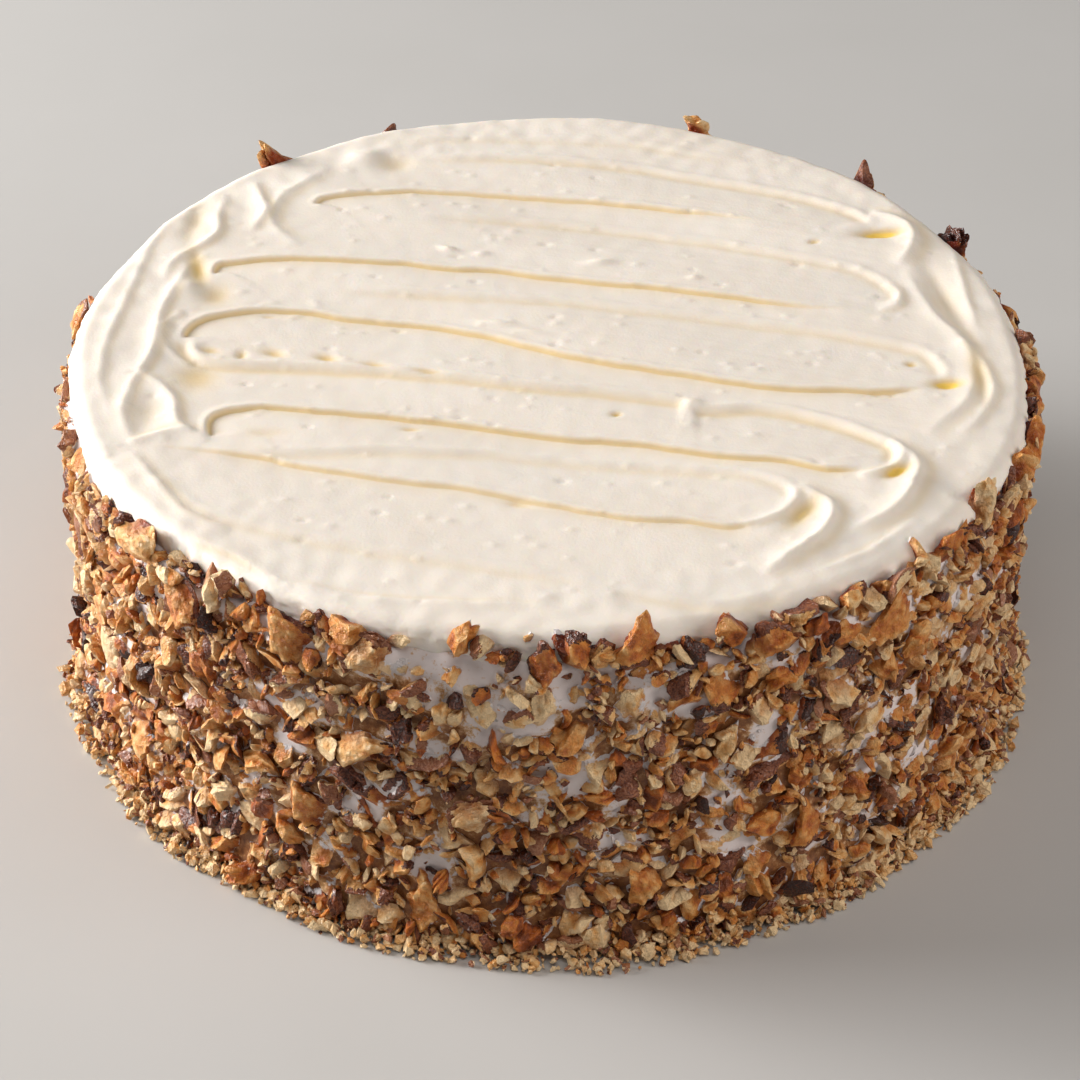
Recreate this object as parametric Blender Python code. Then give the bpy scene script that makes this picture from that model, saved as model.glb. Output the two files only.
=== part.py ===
# Round carrot cake: a tall uncut cake, a slab of cream-cheese icing on top spread in
# zigzag knife strokes, and a thick coat of chopped walnuts pressed on all round.
# Metres, +Z up, the cake stands on z = 0 and its front faces -Y.

import math
import random

import bpy
import bmesh
import numpy as np
from mathutils import Matrix, Vector
from mathutils.geometry import delaunay_2d_cdt

MM = 0.001
GAP = 0.0003                # clearance between neighbouring solids

COLUMNS = 96                # facets round the cake, shared by body, icing rim and coat
BODY_RADIUS = 0.1152        # cake under its side icing
BODY_HEIGHT = 0.0797
SLAB_BOTTOM = BODY_HEIGHT + GAP
SLAB_TOP = 0.0902           # mean height of the spread icing
RIM_RADIUS = 0.1172         # where the icing top ends
COAT_RADIUS = 0.1208        # outside of the walnuts on the wall
COAT_LUMP = 0.0017          # how far the coat wanders in and out
SKIRT_RADIUS = 0.1242       # crumbs gathered round the foot
COAT_TOP = 0.0856           # mean upper edge of the coat

LIP_INSETS = (5.6, 2.6, 0.8, 0.0)    # mm in from the rim
LIP_DROPS = (0.0, 1.0, 2.7, 5.4)     # mm down from the top at each of them

# Knife strokes left by the spreading knife, in mm from the middle of the cake.
# Each has the depth of its step, the reach over which the icing comes back up,
# the lengths over which it fades in and out, and the points it runs through.
STROKES = (
    (0.4, 7, 25, 25, ((-50, 106), (-15, 107), (20, 104))),
    (0.8, 9, 30, 6, ((-60, 92), (-20, 96), (20, 92), (60, 80), (80, 70), (84, 63))),
    (1.2, 8, 4, 25, ((-63, 66), (-58, 72), (-45, 76), (0, 75), (35, 67), (60, 61))),
    (0.7, 8, 30, 6, ((-35, 66), (0, 61), (50, 48), (80, 35), (88, 27), (84, 20))),
    (1.3, 8, 4, 30, ((-87, 33), (-82, 40), (-68, 42), (-20, 38), (20, 30), (72, 20))),
    (0.8, 8, 30, 6, ((-60, 27), (-20, 23), (30, 17), (70, 8), (92, -3), (96, -13))),
    (1.3, 8, 4, 10, ((-91, 3), (-86, 12), (-68, 16), (-40, 12), (0, 0), (45, -13), (90, -16))),
    (1.0, 9, 4, 6, ((-91, 1), (-86, -5), (-70, -8), (0, -20), (50, -24), (75, -36), (82, -45))),
    (1.2, 8, 4, 8, ((-82, -38), (-77, -30), (-60, -27), (-20, -33), (30, -43), (78, -50))),
    (0.6, 5, 25, 6, ((-70, -42), (-30, -44), (10, -46), (48, -55), (57, -62))),
    (1.0, 9, 6, 10, ((-98, -45), (-75, -48), (-40, -56), (0, -65), (30, -71), (50, -69))),
    (0.4, 7, 20, 20, ((-75, -72), (-40, -83), (0, -90))),
)

# Rolls and mounds of icing pushed up where the knife turned: height, half width, points.
ROLLS = (
    (2.4, 3.0, ((76, 71), (88, 65), (96, 59), (96, 50), (91, 42))),
    (1.3, 2.6, ((83, 33), (90, 27), (88, 18))),
    (1.8, 4.0, ((97, 8), (108, -6), (106, -26), (94, -42))),
    (2.2, 2.8, ((75, -50), (83, -46), (87, -54), (83, -66), (76, -74))),
    (2.2, 2.8, ((48, -70), (60, -64), (65, -69), (58, -81), (46, -93))),
    (1.6, 4.0, ((-90, 64), (-99, 46), (-99, 25))),
    (1.3, 3.4, ((-80, 75), (-88, 52), (-90, 42))),
    (2.0, 4.6, ((-55, 92), (-50, 91))),
    (1.8, 4.0, ((-95, 30), (-90, 24))),
    (1.8, 4.2, ((-92, -13), (-86, -22), (-91, -34))),
    (1.4, 4.0, ((-107, 34), (-111, 4), (-106, -33))),
)

# Large walnut pieces: bearing in degrees from the front, positive to the right,
# height in mm, and length in mm.
RIM_WALNUTS = (
    (-158, 84, 12), (-142, 86, 19), (-51, 84, 15), (-28.5, 82, 15), (-19.5, 84, 13),
    (0, 87, 11), (9, 89, 14), (24, 85, 11), (40, 79, 16), (58, 88, 13), (74, 83, 18),
    (118, 86, 15), (135, 87, 11), (160, 87, 11), (-98, 84, 11),
)
WALL_WALNUTS = (
    (-43, 75, 13), (-20, 56, 14), (-27, 34, 14), (-8, 41, 13), (-13, 11, 15), (30, 27, 12),
    (33, 62, 12), (11, 20, 12),
)
HIDDEN_WALNUTS = 6          # more of them spread over the wall behind
BALANCED_ABOVE = 87         # mm: pieces higher than this lie on the rim itself,
RIM_INSET = 0.0030          # this far in from the wall
WALNUT_DEPTH = 0.0036       # least thickness of a large piece, wall to outside


def material(name, color, roughness):
    mat = bpy.data.materials.new(name)
    mat.use_nodes = True
    shader = mat.node_tree.nodes["Principled BSDF"]
    shader.inputs["Base Color"].default_value = (*color, 1.0)
    shader.inputs["Roughness"].default_value = roughness
    shader.inputs["Metallic"].default_value = 0.0
    mat.diffuse_color = (*color, 1.0)
    return mat


def add_object(name, verts, faces, mat, smooth_angle=None):
    bm = bmesh.new()
    corners = [bm.verts.new(v) for v in verts]
    for face in faces:
        bm.faces.new([corners[i] for i in face])
    bmesh.ops.recalc_face_normals(bm, faces=bm.faces)
    mesh = bpy.data.meshes.new(name)
    bm.to_mesh(mesh)
    bm.free()
    mesh.materials.append(mat)
    if smooth_angle is not None:
        for polygon in mesh.polygons:
            polygon.use_smooth = True
        mesh.set_sharp_from_angle(angle=math.radians(smooth_angle))
    obj = bpy.data.objects.new(name, mesh)
    bpy.context.scene.collection.objects.link(obj)
    return obj


def smooth_step(values, low, high):
    t = np.clip((values - low) / (high - low), 0.0, 1.0)
    return t * t * (3.0 - 2.0 * t)


def bearing(column):
    """Angle of a column, measured from the front and growing to the right."""
    return 2.0 * math.pi * column / COLUMNS


def around(radius, angle, z):
    return Vector((radius * math.sin(angle), -radius * math.cos(angle), z))


def rim_radius(angle):
    """The icing edge is not a true circle; the knife left slow waves in it."""
    wave = 0.55 * math.sin(2 * angle + 0.6) + 0.45 * math.sin(5 * angle + 1.9)
    wave += 0.35 * math.sin(11 * angle + 0.4)
    return RIM_RADIUS + wave * MM


def coat_top(angle):
    """Upper edge of the walnuts: ragged, and lowest where the icing is bare at the front."""
    wave = 1.0 * math.sin(3 * angle + 0.5) + 0.8 * math.sin(8 * angle + 2.2)
    wave += 0.6 * math.sin(17 * angle)
    bare = math.exp(-((math.degrees(angle) + 9.0) / 5.0) ** 2)
    return COAT_TOP + (wave - 3.0 * bare) * MM


def curve_through(points, step):
    """Points every `step` mm along a smooth curve through the given ones."""
    ends = [points[0]] + list(points) + [points[-1]]
    line = []
    for k in range(1, len(ends) - 2):
        p0, p1, p2, p3 = (np.array(ends[k + j], float) for j in (-1, 0, 1, 2))
        count = max(1, int(round(np.linalg.norm(p2 - p1) / step)))
        for j in range(count):
            t = j / count
            bend = 2 * p0 - 5 * p1 + 4 * p2 - p3
            twist = 3 * p1 - p0 - 3 * p2 + p3
            line.append(0.5 * (2 * p1 + (p2 - p0) * t + bend * t * t + twist * t ** 3))
    line.append(np.array(points[-1], float))
    return np.array(line)


def nearest_on(line, x, y):
    """Signed distance to a curve (positive on its right) and the length along it."""
    best = np.full(x.shape, 1e9)
    side = np.zeros(x.shape)
    along = np.zeros(x.shape)
    done = 0.0
    for a, b in zip(line[:-1], line[1:]):
        d = b - a
        length = math.hypot(d[0], d[1])
        t = np.clip(((x - a[0]) * d[0] + (y - a[1]) * d[1]) / length ** 2, 0.0, 1.0)
        dx = x - a[0] - t * d[0]
        dy = y - a[1] - t * d[1]
        dist = np.hypot(dx, dy)
        closer = dist < best
        best = np.where(closer, dist, best)
        side = np.where(closer, np.sign(d[1] * dx - d[0] * dy), side)
        along = np.where(closer, done + t * length, along)
        done += length
    return best * side, along, done


def relief(x, y):
    """Height of the spread icing over its mean plane, in mm, at points given in mm."""
    total = 0.35 * np.sin(x / 21.0 + 1.0) * np.cos(y / 17.0) + 0.25 * np.sin((x + 2.2 * y) / 13.0)
    for depth, reach, fade_in, fade_out, points in STROKES:
        s, along, length = nearest_on(curve_through(points, 5.0), x, y)
        fade = smooth_step(along, 0.0, fade_in) * smooth_step(length - along, 0.0, fade_out)
        lip = 0.35 * np.exp(-(((s + 1.6) / 1.4) ** 2))
        step = smooth_step(s, -0.9, 0.9) * np.exp(-np.maximum(s, 0.0) / reach)
        total = total + depth * fade * (lip - step)
    for height, half_width, points in ROLLS:
        s, along, length = nearest_on(curve_through(points, 4.0), x, y)
        ends = 0.55 + 0.45 * np.sin(math.pi * np.clip(along / length, 0.0, 1.0))
        total = total + height * ends * np.exp(-((s / half_width) ** 2))
    return total


def icing_points():
    """Plan points for the icing top, dense along the strokes and rolls, sparse between."""
    kept = []
    limit = (RIM_RADIUS / MM) - LIP_INSETS[0] - 3.2

    def offer(x, y, spacing):
        if math.hypot(x, y) > limit:
            return
        for other in kept:
            if (other[0] - x) ** 2 + (other[1] - y) ** 2 < spacing ** 2:
                return
        kept.append((x, y))

    for depth, reach, fade_in, fade_out, points in STROKES:
        line = curve_through(points, 7.0)
        for k in range(len(line)):
            before = line[max(k - 1, 0)]
            after = line[min(k + 1, len(line) - 1)]
            d = (after - before) / np.linalg.norm(after - before)
            right = np.array((d[1], -d[0]))
            for offset in (-1.5, 1.0, -3.6, 4.4):
                p = line[k] + right * offset
                offer(p[0], p[1], 1.7)
    for height, half_width, points in ROLLS:
        line = curve_through(points, 4.5)
        for k in range(len(line)):
            before = line[max(k - 1, 0)]
            after = line[min(k + 1, len(line) - 1)]
            d = (after - before) / np.linalg.norm(after - before)
            right = np.array((d[1], -d[0]))
            for offset in (0.0, -half_width, half_width):
                p = line[k] + right * offset
                offer(p[0], p[1], 2.0)
    pitch = 8.6
    for row in range(-15, 16):
        for column in range(-15, 16):
            x = (column + 0.5 * (row % 2)) * pitch
            offer(x, row * pitch * 0.866, 4.6)
    return kept


def build_icing_top(mat):
    inner = []
    for k in range(COLUMNS):
        p = around(rim_radius(bearing(k)) / MM - LIP_INSETS[0], bearing(k), 0.0)
        inner.append((p.x, p.y))
    plan = inner + icing_points()
    edges = [(k, (k + 1) % COLUMNS) for k in range(COLUMNS)]
    flat, _, faces, _, _, _ = delaunay_2d_cdt([Vector(p) for p in plan], edges, [], 1, 1e-5)
    xs = np.array([p.x for p in flat])
    ys = np.array([p.y for p in flat])
    zs = SLAB_TOP + relief(xs, ys) * MM
    verts = [Vector((xs[i] * MM, ys[i] * MM, zs[i])) for i in range(len(xs))]
    faces = [tuple(f) for f in faces]
    last = list(range(COLUMNS))
    for inset, drop in zip(LIP_INSETS[1:], LIP_DROPS[1:]):
        ring = []
        for k in range(COLUMNS):
            a = bearing(k)
            p = around(rim_radius(a) - inset * MM, a, 0.0)
            lift = float(relief(np.array([p.x / MM]), np.array([p.y / MM]))[0])
            drape = 0.7 * math.sin(7 * a + 1.0) + 0.5 * math.sin(15 * a)
            z = SLAB_TOP + (lift - drop + drape * drop / LIP_DROPS[-1]) * MM
            ring.append(len(verts))
            verts.append(Vector((p.x, p.y, z)))
        for k in range(COLUMNS):
            n = (k + 1) % COLUMNS
            faces.append((last[k], last[n], ring[n], ring[k]))
        last = ring
    foot = []
    for k in range(COLUMNS):
        foot.append(len(verts))
        verts.append(around(rim_radius(bearing(k)), bearing(k), SLAB_BOTTOM))
    for k in range(COLUMNS):
        n = (k + 1) % COLUMNS
        faces.append((last[k], last[n], foot[n], foot[k]))
    faces.append(tuple(foot))
    return add_object("icing_top", verts, faces, mat, 60)


def build_rings(name, rings, mat, closed, smooth_angle):
    """A body of revolution with its own radius and height at every column."""
    verts = [v for ring in rings for v in ring]
    faces = []
    levels = len(rings)
    for r in range(levels if closed else levels - 1):
        for k in range(COLUMNS):
            n = (k + 1) % COLUMNS
            a = r * COLUMNS
            b = ((r + 1) % levels) * COLUMNS
            faces.append((a + k, a + n, b + n, b + k))
    if not closed:
        faces.append(tuple(range(COLUMNS)))
        faces.append(tuple((levels - 1) * COLUMNS + k for k in range(COLUMNS)))
    return add_object(name, verts, faces, mat, smooth_angle)


def build_body(mat):
    rings = []
    for z in (0.0, BODY_HEIGHT):
        rings.append([around(BODY_RADIUS, bearing(k), z) for k in range(COLUMNS)])
    return build_rings("cake_body", rings, mat, False, 40)


def build_coat(mat):
    """Chopped walnuts all round, one solid out to its lumpy outline, crumbs at the foot."""
    rng = random.Random(41)
    heights = (0.0, 4.0, 12.0, 21.0, 30.0, 39.0, 48.0, 57.0, 66.0, 74.5)
    rings = []
    for row, z in enumerate(heights):
        ring = []
        for k in range(COLUMNS):
            a = bearing(k + (0.25 if row % 2 else -0.25))
            skirt = (SKIRT_RADIUS - COAT_RADIUS) * math.exp(-z / 4.5)
            lump = rng.uniform(-1.0, 1.0) * COAT_LUMP
            rise = rng.uniform(-1.8, 1.8) * MM if row > 1 else 0.0
            ring.append(around(COAT_RADIUS + skirt + lump, a, z * MM + rise))
        rings.append(ring)
    edge = [around(COAT_RADIUS - 0.0006 + rng.uniform(-1, 1) * COAT_LUMP, bearing(k),
                   coat_top(bearing(k)) - 0.0012) for k in range(COLUMNS)]
    crest = [around(rim_radius(bearing(k)) + 0.0016, bearing(k),
                    coat_top(bearing(k)) + rng.uniform(0.2, 1.3) * MM) for k in range(COLUMNS)]
    inner = [around(rim_radius(bearing(k)) + GAP, bearing(k),
                    coat_top(bearing(k)) - 0.0004) for k in range(COLUMNS)]
    ledge = [around(rim_radius(bearing(k)) + GAP, bearing(k), BODY_HEIGHT) for k in range(COLUMNS)]
    seat = [around(BODY_RADIUS + GAP, bearing(k), BODY_HEIGHT) for k in range(COLUMNS)]
    foot = [around(BODY_RADIUS + GAP, bearing(k), 0.0) for k in range(COLUMNS)]
    rings += [edge, crest, inner, ledge, seat, foot]
    return build_rings("walnut_coat", rings, mat, True, 25)


def walnut_shape(rng, length):
    """A broken walnut kernel: a lump with a few flat breaks and a groove along one side."""
    bm = bmesh.new()
    bmesh.ops.create_icosphere(bm, subdivisions=1, radius=1.0)
    breaks = []
    for _ in range(4):
        n = Vector((rng.uniform(-1, 1), rng.uniform(-1, 1), rng.uniform(-1, 1))).normalized()
        breaks.append((n, rng.uniform(0.62, 0.85)))
    lean = rng.uniform(-0.25, 0.25)
    for v in bm.verts:
        d = v.co.normalized()
        r = 1.0
        for n, reach in breaks:
            facing = d.dot(n)
            if facing > 0.1:
                r = min(r, reach / facing)
        ridge = math.cos(4.0 * math.atan2(d.y, d.z) + 3.0 * d.x)
        r *= 1.0 + 0.07 * ridge + rng.uniform(-0.05, 0.05)
        if d.z > 0.3:
            r *= 1.0 - 0.22 * math.exp(-((d.y - lean) / 0.28) ** 2)
        v.co = d * r
    sizes = (length, length * rng.uniform(0.66, 0.82), WALNUT_DEPTH + 0.14 * length)
    for axis in range(3):
        reach = [v.co[axis] for v in bm.verts]
        middle = 0.5 * (max(reach) + min(reach))
        factor = sizes[axis] / (max(reach) - min(reach))
        for v in bm.verts:
            v.co[axis] = (v.co[axis] - middle) * factor
    return bm


def walnut_places(rng):
    places = list(RIM_WALNUTS) + list(WALL_WALNUTS)
    for k in range(HIDDEN_WALNUTS):
        angle = 180.0 + (k - (HIDDEN_WALNUTS - 1) / 2.0) * 34.0
        z = 22.0 + 45.0 * ((k * 0.618) % 1.0)
        places.append((angle, z, rng.uniform(11.0, 15.0)))
    return places


def clear_of_body(bm, out):
    """Shift a piece outward until it stays off the cake it is pressed against."""
    if min(v.co.z for v in bm.verts) > BODY_HEIGHT + 3 * GAP:
        return
    inmost = min(math.hypot(v.co.x, v.co.y) for v in bm.verts)
    shift = BODY_RADIUS + 3 * GAP - inmost
    if shift > 0.0:
        bmesh.ops.translate(bm, vec=out * shift, verts=bm.verts)


def cut_pockets(obj, cutters):
    collection = bpy.data.collections.new(obj.name + "_pockets")
    bpy.context.scene.collection.children.link(collection)
    for cutter in cutters:
        collection.objects.link(cutter)
    cut = obj.modifiers.new("Pockets", "BOOLEAN")
    cut.operation = "DIFFERENCE"
    cut.operand_type = "COLLECTION"
    cut.collection = collection
    cut.solver = "EXACT"


def build_walnuts(mat):
    """Each large piece lies against the wall, long way mostly up, half sunk in the coat."""
    rng = random.Random(7)
    cutters = []
    for index, (angle, z, length) in enumerate(walnut_places(rng)):
        radius = COAT_RADIUS - (RIM_INSET if z > BALANCED_ABOVE else GAP)
        bm = walnut_shape(rng, length * MM)
        a = math.radians(angle)
        out = Vector((math.sin(a), -math.cos(a), 0.0))
        side = Vector((math.cos(a), math.sin(a), 0.0))
        roll = math.radians(rng.uniform(-50, 50))
        long_way = side * math.sin(roll) + Vector((0, 0, 1)) * math.cos(roll)
        across = out.cross(long_way)
        turn = Matrix((long_way, across, out)).transposed()
        place = Matrix.Translation(around(radius, a, z * MM)) @ turn.to_4x4()
        bmesh.ops.transform(bm, matrix=place, verts=bm.verts)
        clear_of_body(bm, out)
        name = "walnut_piece_%02d" % (index + 1)
        verts = [v.co.copy() for v in bm.verts]
        faces = [tuple(v.index for v in f.verts) for f in bm.faces]
        add_object(name, verts, faces, mat, 30)
        bm.normal_update()
        grown = [v.co + v.normal * (GAP * 1.35) for v in bm.verts]
        bm.free()
        cutter = add_object(name + "_pocket", grown, faces, mat)
        cutter.hide_render = True
        cutter.display_type = "WIRE"
        cutters.append(cutter)
    return cutters


for old in list(bpy.data.objects):
    bpy.data.objects.remove(old, do_unlink=True)

side_icing = material("Side icing", (0.80, 0.74, 0.66), 0.55)
top_icing = material("Cream cheese icing", (0.86, 0.78, 0.64), 0.45)
chopped = material("Chopped walnuts", (0.36, 0.19, 0.085), 0.6)
kernel = material("Walnut kernel", (0.46, 0.27, 0.13), 0.55)

body = build_body(side_icing)
icing = build_icing_top(top_icing)
coat = build_coat(chopped)
pockets = build_walnuts(kernel)
cut_pockets(icing, pockets)
cut_pockets(coat, pockets)
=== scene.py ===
import math

import bpy
import bmesh
import numpy as np
from mathutils import Matrix, Vector, noise
from mathutils.geometry import delaunay_2d_cdt


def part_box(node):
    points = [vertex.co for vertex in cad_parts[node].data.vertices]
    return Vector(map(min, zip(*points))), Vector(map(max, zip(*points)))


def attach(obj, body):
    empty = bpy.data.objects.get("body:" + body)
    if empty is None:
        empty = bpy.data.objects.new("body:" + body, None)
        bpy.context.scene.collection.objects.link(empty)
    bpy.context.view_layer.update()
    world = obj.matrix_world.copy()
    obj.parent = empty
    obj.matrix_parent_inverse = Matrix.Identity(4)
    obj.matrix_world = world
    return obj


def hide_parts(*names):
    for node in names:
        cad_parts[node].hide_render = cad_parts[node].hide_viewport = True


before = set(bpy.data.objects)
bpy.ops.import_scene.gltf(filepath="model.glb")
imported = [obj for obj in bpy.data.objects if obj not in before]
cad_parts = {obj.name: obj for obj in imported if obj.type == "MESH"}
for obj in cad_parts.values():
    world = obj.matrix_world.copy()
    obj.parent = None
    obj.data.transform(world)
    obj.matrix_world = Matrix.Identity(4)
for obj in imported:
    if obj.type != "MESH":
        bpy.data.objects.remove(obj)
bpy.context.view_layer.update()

# A whole carrot cake: cream-cheese icing spread over the top with a knife, and chopped
# walnuts pressed into the icing all round. Lengths are millimetres unless a line says
# otherwise, and mm turns them into the scene's metres. The front of the cake faces -Y.

mm = 0.001
iceLow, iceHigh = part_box("icing_top")
bodyLow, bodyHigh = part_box("cake_body")
bodyRadius = (bodyHigh.x - bodyLow.x) / 2 / mm
slabBottom = iceLow.z / mm
slabTop = slabBottom + 11.0        # mean height of the spread icing
rimRadius = bodyRadius + 3.0       # mean edge of the icing on top
wallRadius = bodyRadius + 1.0      # icing on the side, before the nuts went on
print("frame: icing to %.1f mm across and %.1f mm high" % (2 * rimRadius, slabTop))


# Small helpers.

def linear(hexColor):
    parts = [int(hexColor[k:k + 2], 16) / 255 for k in (1, 3, 5)]
    return tuple(c / 12.92 if c <= 0.04045 else ((c + 0.055) / 1.055) ** 2.4 for c in parts) + (1.0,)


def smoothStep(values, low, high):
    t = np.clip((values - low) / (high - low), 0.0, 1.0)
    return t * t * (3.0 - 2.0 * t)


def noiseAt(points, size, seed):
    # Perlin noise about one lump per size, from -1 to 1
    p = np.asarray(points, float) / size + seed * 7.31
    return np.array([noise.noise(q) for q in p.tolist()])


def meshFrom(name, verts, triangles):
    mesh = bpy.data.meshes.new(name)
    mesh.vertices.add(len(verts))
    mesh.vertices.foreach_set("co", np.asarray(verts, np.float32).ravel())
    mesh.loops.add(len(triangles) * 3)
    mesh.loops.foreach_set("vertex_index", np.asarray(triangles, np.int32).ravel())
    mesh.polygons.add(len(triangles))
    mesh.polygons.foreach_set("loop_start", np.arange(0, len(triangles) * 3, 3, dtype=np.int32))
    mesh.update(calc_edges=True)
    mesh.validate()
    return mesh


def addPiece(name, mesh, material, replaced, sharpAngle=None):
    mesh.materials.append(material)
    mesh.shade_smooth()
    if sharpAngle is not None:
        mesh.set_sharp_from_angle(angle=math.radians(sharpAngle))
    piece = bpy.data.objects.new(name, mesh)
    bpy.context.scene.collection.objects.link(piece)
    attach(piece, "root")
    if replaced:
        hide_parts(*replaced)
    print("%s: %d triangles" % (name, sum(len(p.vertices) - 2 for p in mesh.polygons)))
    return piece


def markPoints(mesh, name, kind, values):
    field = {"FLOAT": "value", "FLOAT_VECTOR": "vector", "FLOAT_COLOR": "color"}[kind]
    mark = mesh.attributes.new(name, kind, "POINT")
    mark.data.foreach_set(field, np.asarray(values, np.float32).ravel())


def addNode(tree, kind, settings=None, links=None):
    node = tree.nodes.new("ShaderNode" + kind)
    for key, value in (settings or {}).items():
        if isinstance(key, int) or key in node.inputs:
            node.inputs[key].default_value = value
        else:
            setattr(node, key, value)
    for key, source in (links or {}).items():
        tree.links.new(source, node.inputs[key])
    return node


def newMaterial(name):
    material = bpy.data.materials.new(name)
    material.use_nodes = True
    tree = material.node_tree
    tree.nodes.clear()
    return material, tree


def setRamp(node, stops):
    ramp = node.color_ramp
    while len(ramp.elements) < len(stops):
        ramp.elements.new(0.5)
    for element, (place, hexColor) in zip(ramp.elements, stops):
        element.position = place
        element.color = linear(hexColor)


# Materials.

icingLook = {
    "cream": "#f1e5d6", "pale": "#f7efe4", "shadeButter": "#ebd09c", "glowYolk": "#ffd669",
    "lightDepth": 1.5, "cloudSize": 22.0, "whipSize": 0.8, "bump": 0.16,
}


def spreadIcingMaterial():
    # Cream-cheese icing, whipped and drawn out with a knife: dense, milky and satin, so the
    # light goes a few millimetres in. Creases get a painted butter-yellow shade and the deepest
    # pockets a painted yellow glow, so that they don't go grey
    material, tree = newMaterial("spread cream-cheese icing")
    place = addNode(tree, "TexCoord")
    cloud = addNode(tree, "TexNoise",
                    {"Scale": 1 / (icingLook["cloudSize"] * mm), "Detail": 3.0, "Roughness": 0.55},
                    {"Vector": place.outputs["Object"]})
    fine = addNode(tree, "TexNoise", {"Scale": 1 / (icingLook["whipSize"] * mm), "Detail": 3.0},
                   {"Vector": place.outputs["Object"]})
    tint = addNode(tree, "Mix", {"data_type": "RGBA", 6: linear(icingLook["cream"]),
                                 7: linear(icingLook["pale"])}, {0: cloud.outputs["Fac"]})
    # painted shade: a butter-yellow tint in the creases, and past 1.05 a painted yellow glow in the deepest
    # pockets
    creaseShade = addNode(tree, "Attribute", {"attribute_name": "creaseShade"})
    shaded = addNode(tree, "Mix", {"data_type": "RGBA", 7: linear(icingLook["shadeButter"])},
                     {0: creaseShade.outputs["Fac"], 6: tint.outputs[2]})
    deep = addNode(tree, "MapRange", {"From Min": 1.05, "From Max": 1.5},
                   {"Value": creaseShade.outputs["Fac"]})
    color = addNode(tree, "Mix", {"data_type": "RGBA", 7: linear(icingLook["glowYolk"])},
                    {0: deep.outputs[0], 6: shaded.outputs[2]})
    rough = addNode(tree, "MapRange", {"To Min": 0.36, "To Max": 0.52}, {"Value": fine.outputs["Fac"]})
    bump = addNode(tree, "Bump", {"Strength": icingLook["bump"], "Distance": 0.4 * mm},
                   {"Height": fine.outputs["Fac"]})
    shader = addNode(tree, "BsdfPrincipled",
                     {"IOR": 1.46, "Subsurface Weight": 0.28,
                      "Subsurface Scale": icingLook["lightDepth"] * mm,
                      "Subsurface Radius": (1.0, 0.72, 0.42)},
                     {"Base Color": color.outputs[2], "Roughness": rough.outputs[0],
                      "Normal": bump.outputs[0]})
    addNode(tree, "OutputMaterial", {}, {"Surface": shader.outputs[0]})
    return material


smearLook = {
    # ramp from icing white to brown: nut meal, and painted shade where the icing lies sunk between the nuts
    "dustAndShade": [(0.0, "#e8dedb"), (0.56, "#e4d8d4"), (0.66, "#cfa87c"), (0.80, "#9a6434"), (1.0, "#6e3f1e")],
    "meal": 1.6, "drag": 2.4,
}


def smearedIcingMaterial():
    # The same icing scraped thin over the side and pushed up between the nuts: it keeps
    # drag marks and a dusting of nut meal, so it looks rougher and a little greyer. Outside the
    # smears, the bare patches and the band under the lip, the brown of the meal also stands in
    # for painted shade in the crevices between the nuts
    material, tree = newMaterial("smeared icing with nut meal and painted shade")
    place = addNode(tree, "TexCoord")
    meal = addNode(tree, "TexNoise",
                   {"Scale": 1 / (smearLook["meal"] * mm), "Detail": 5.0, "Roughness": 0.7},
                   {"Vector": place.outputs["Object"]})
    bareOfDustAndShade = addNode(tree, "Attribute", {"attribute_name": "bareOfDustAndShade"})
    dustAndShadeShift = addNode(tree, "Math", {"operation": "MULTIPLY_ADD", 1: -0.42, 2: 0.38},
                     {0: bareOfDustAndShade.outputs["Fac"]})
    share = addNode(tree, "Math", {"operation": "ADD"}, {0: meal.outputs["Fac"], 1: dustAndShadeShift.outputs[0]})
    dustAndShade = addNode(tree, "ValToRGB", {}, {"Fac": share.outputs[0]})
    setRamp(dustAndShade, smearLook["dustAndShade"])
    drag = addNode(tree, "TexNoise", {"Scale": 1 / (smearLook["drag"] * mm), "Detail": 3.0},
                   {"Vector": place.outputs["Object"]})
    bump = addNode(tree, "Bump", {"Strength": 0.25, "Distance": 0.5 * mm},
                   {"Height": drag.outputs["Fac"]})
    shader = addNode(tree, "BsdfPrincipled", {"Roughness": 0.5, "IOR": 1.46},
                     {"Base Color": dustAndShade.outputs["Color"], "Normal": bump.outputs[0]})
    addNode(tree, "OutputMaterial", {}, {"Surface": shader.outputs[0]})
    return material


kernelLook = {
    "flesh": [(0.0, "#f1d09f"), (0.3, "#e6af6c"), (0.55, "#d3873b"), (0.78, "#b86122"), (1.0, "#7d3c15")],
    "skin": [(0.0, "#ac7654"), (0.35, "#8e5436"), (0.7, "#673420"), (1.0, "#35160c")],
    "grain": 0.4, "wrinkle": 1.1, "zone": 3.0, "crumble": 1.5, "smear": "#ebe3e1", "creviceShadeColor": "#a8623a",
}


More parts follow.
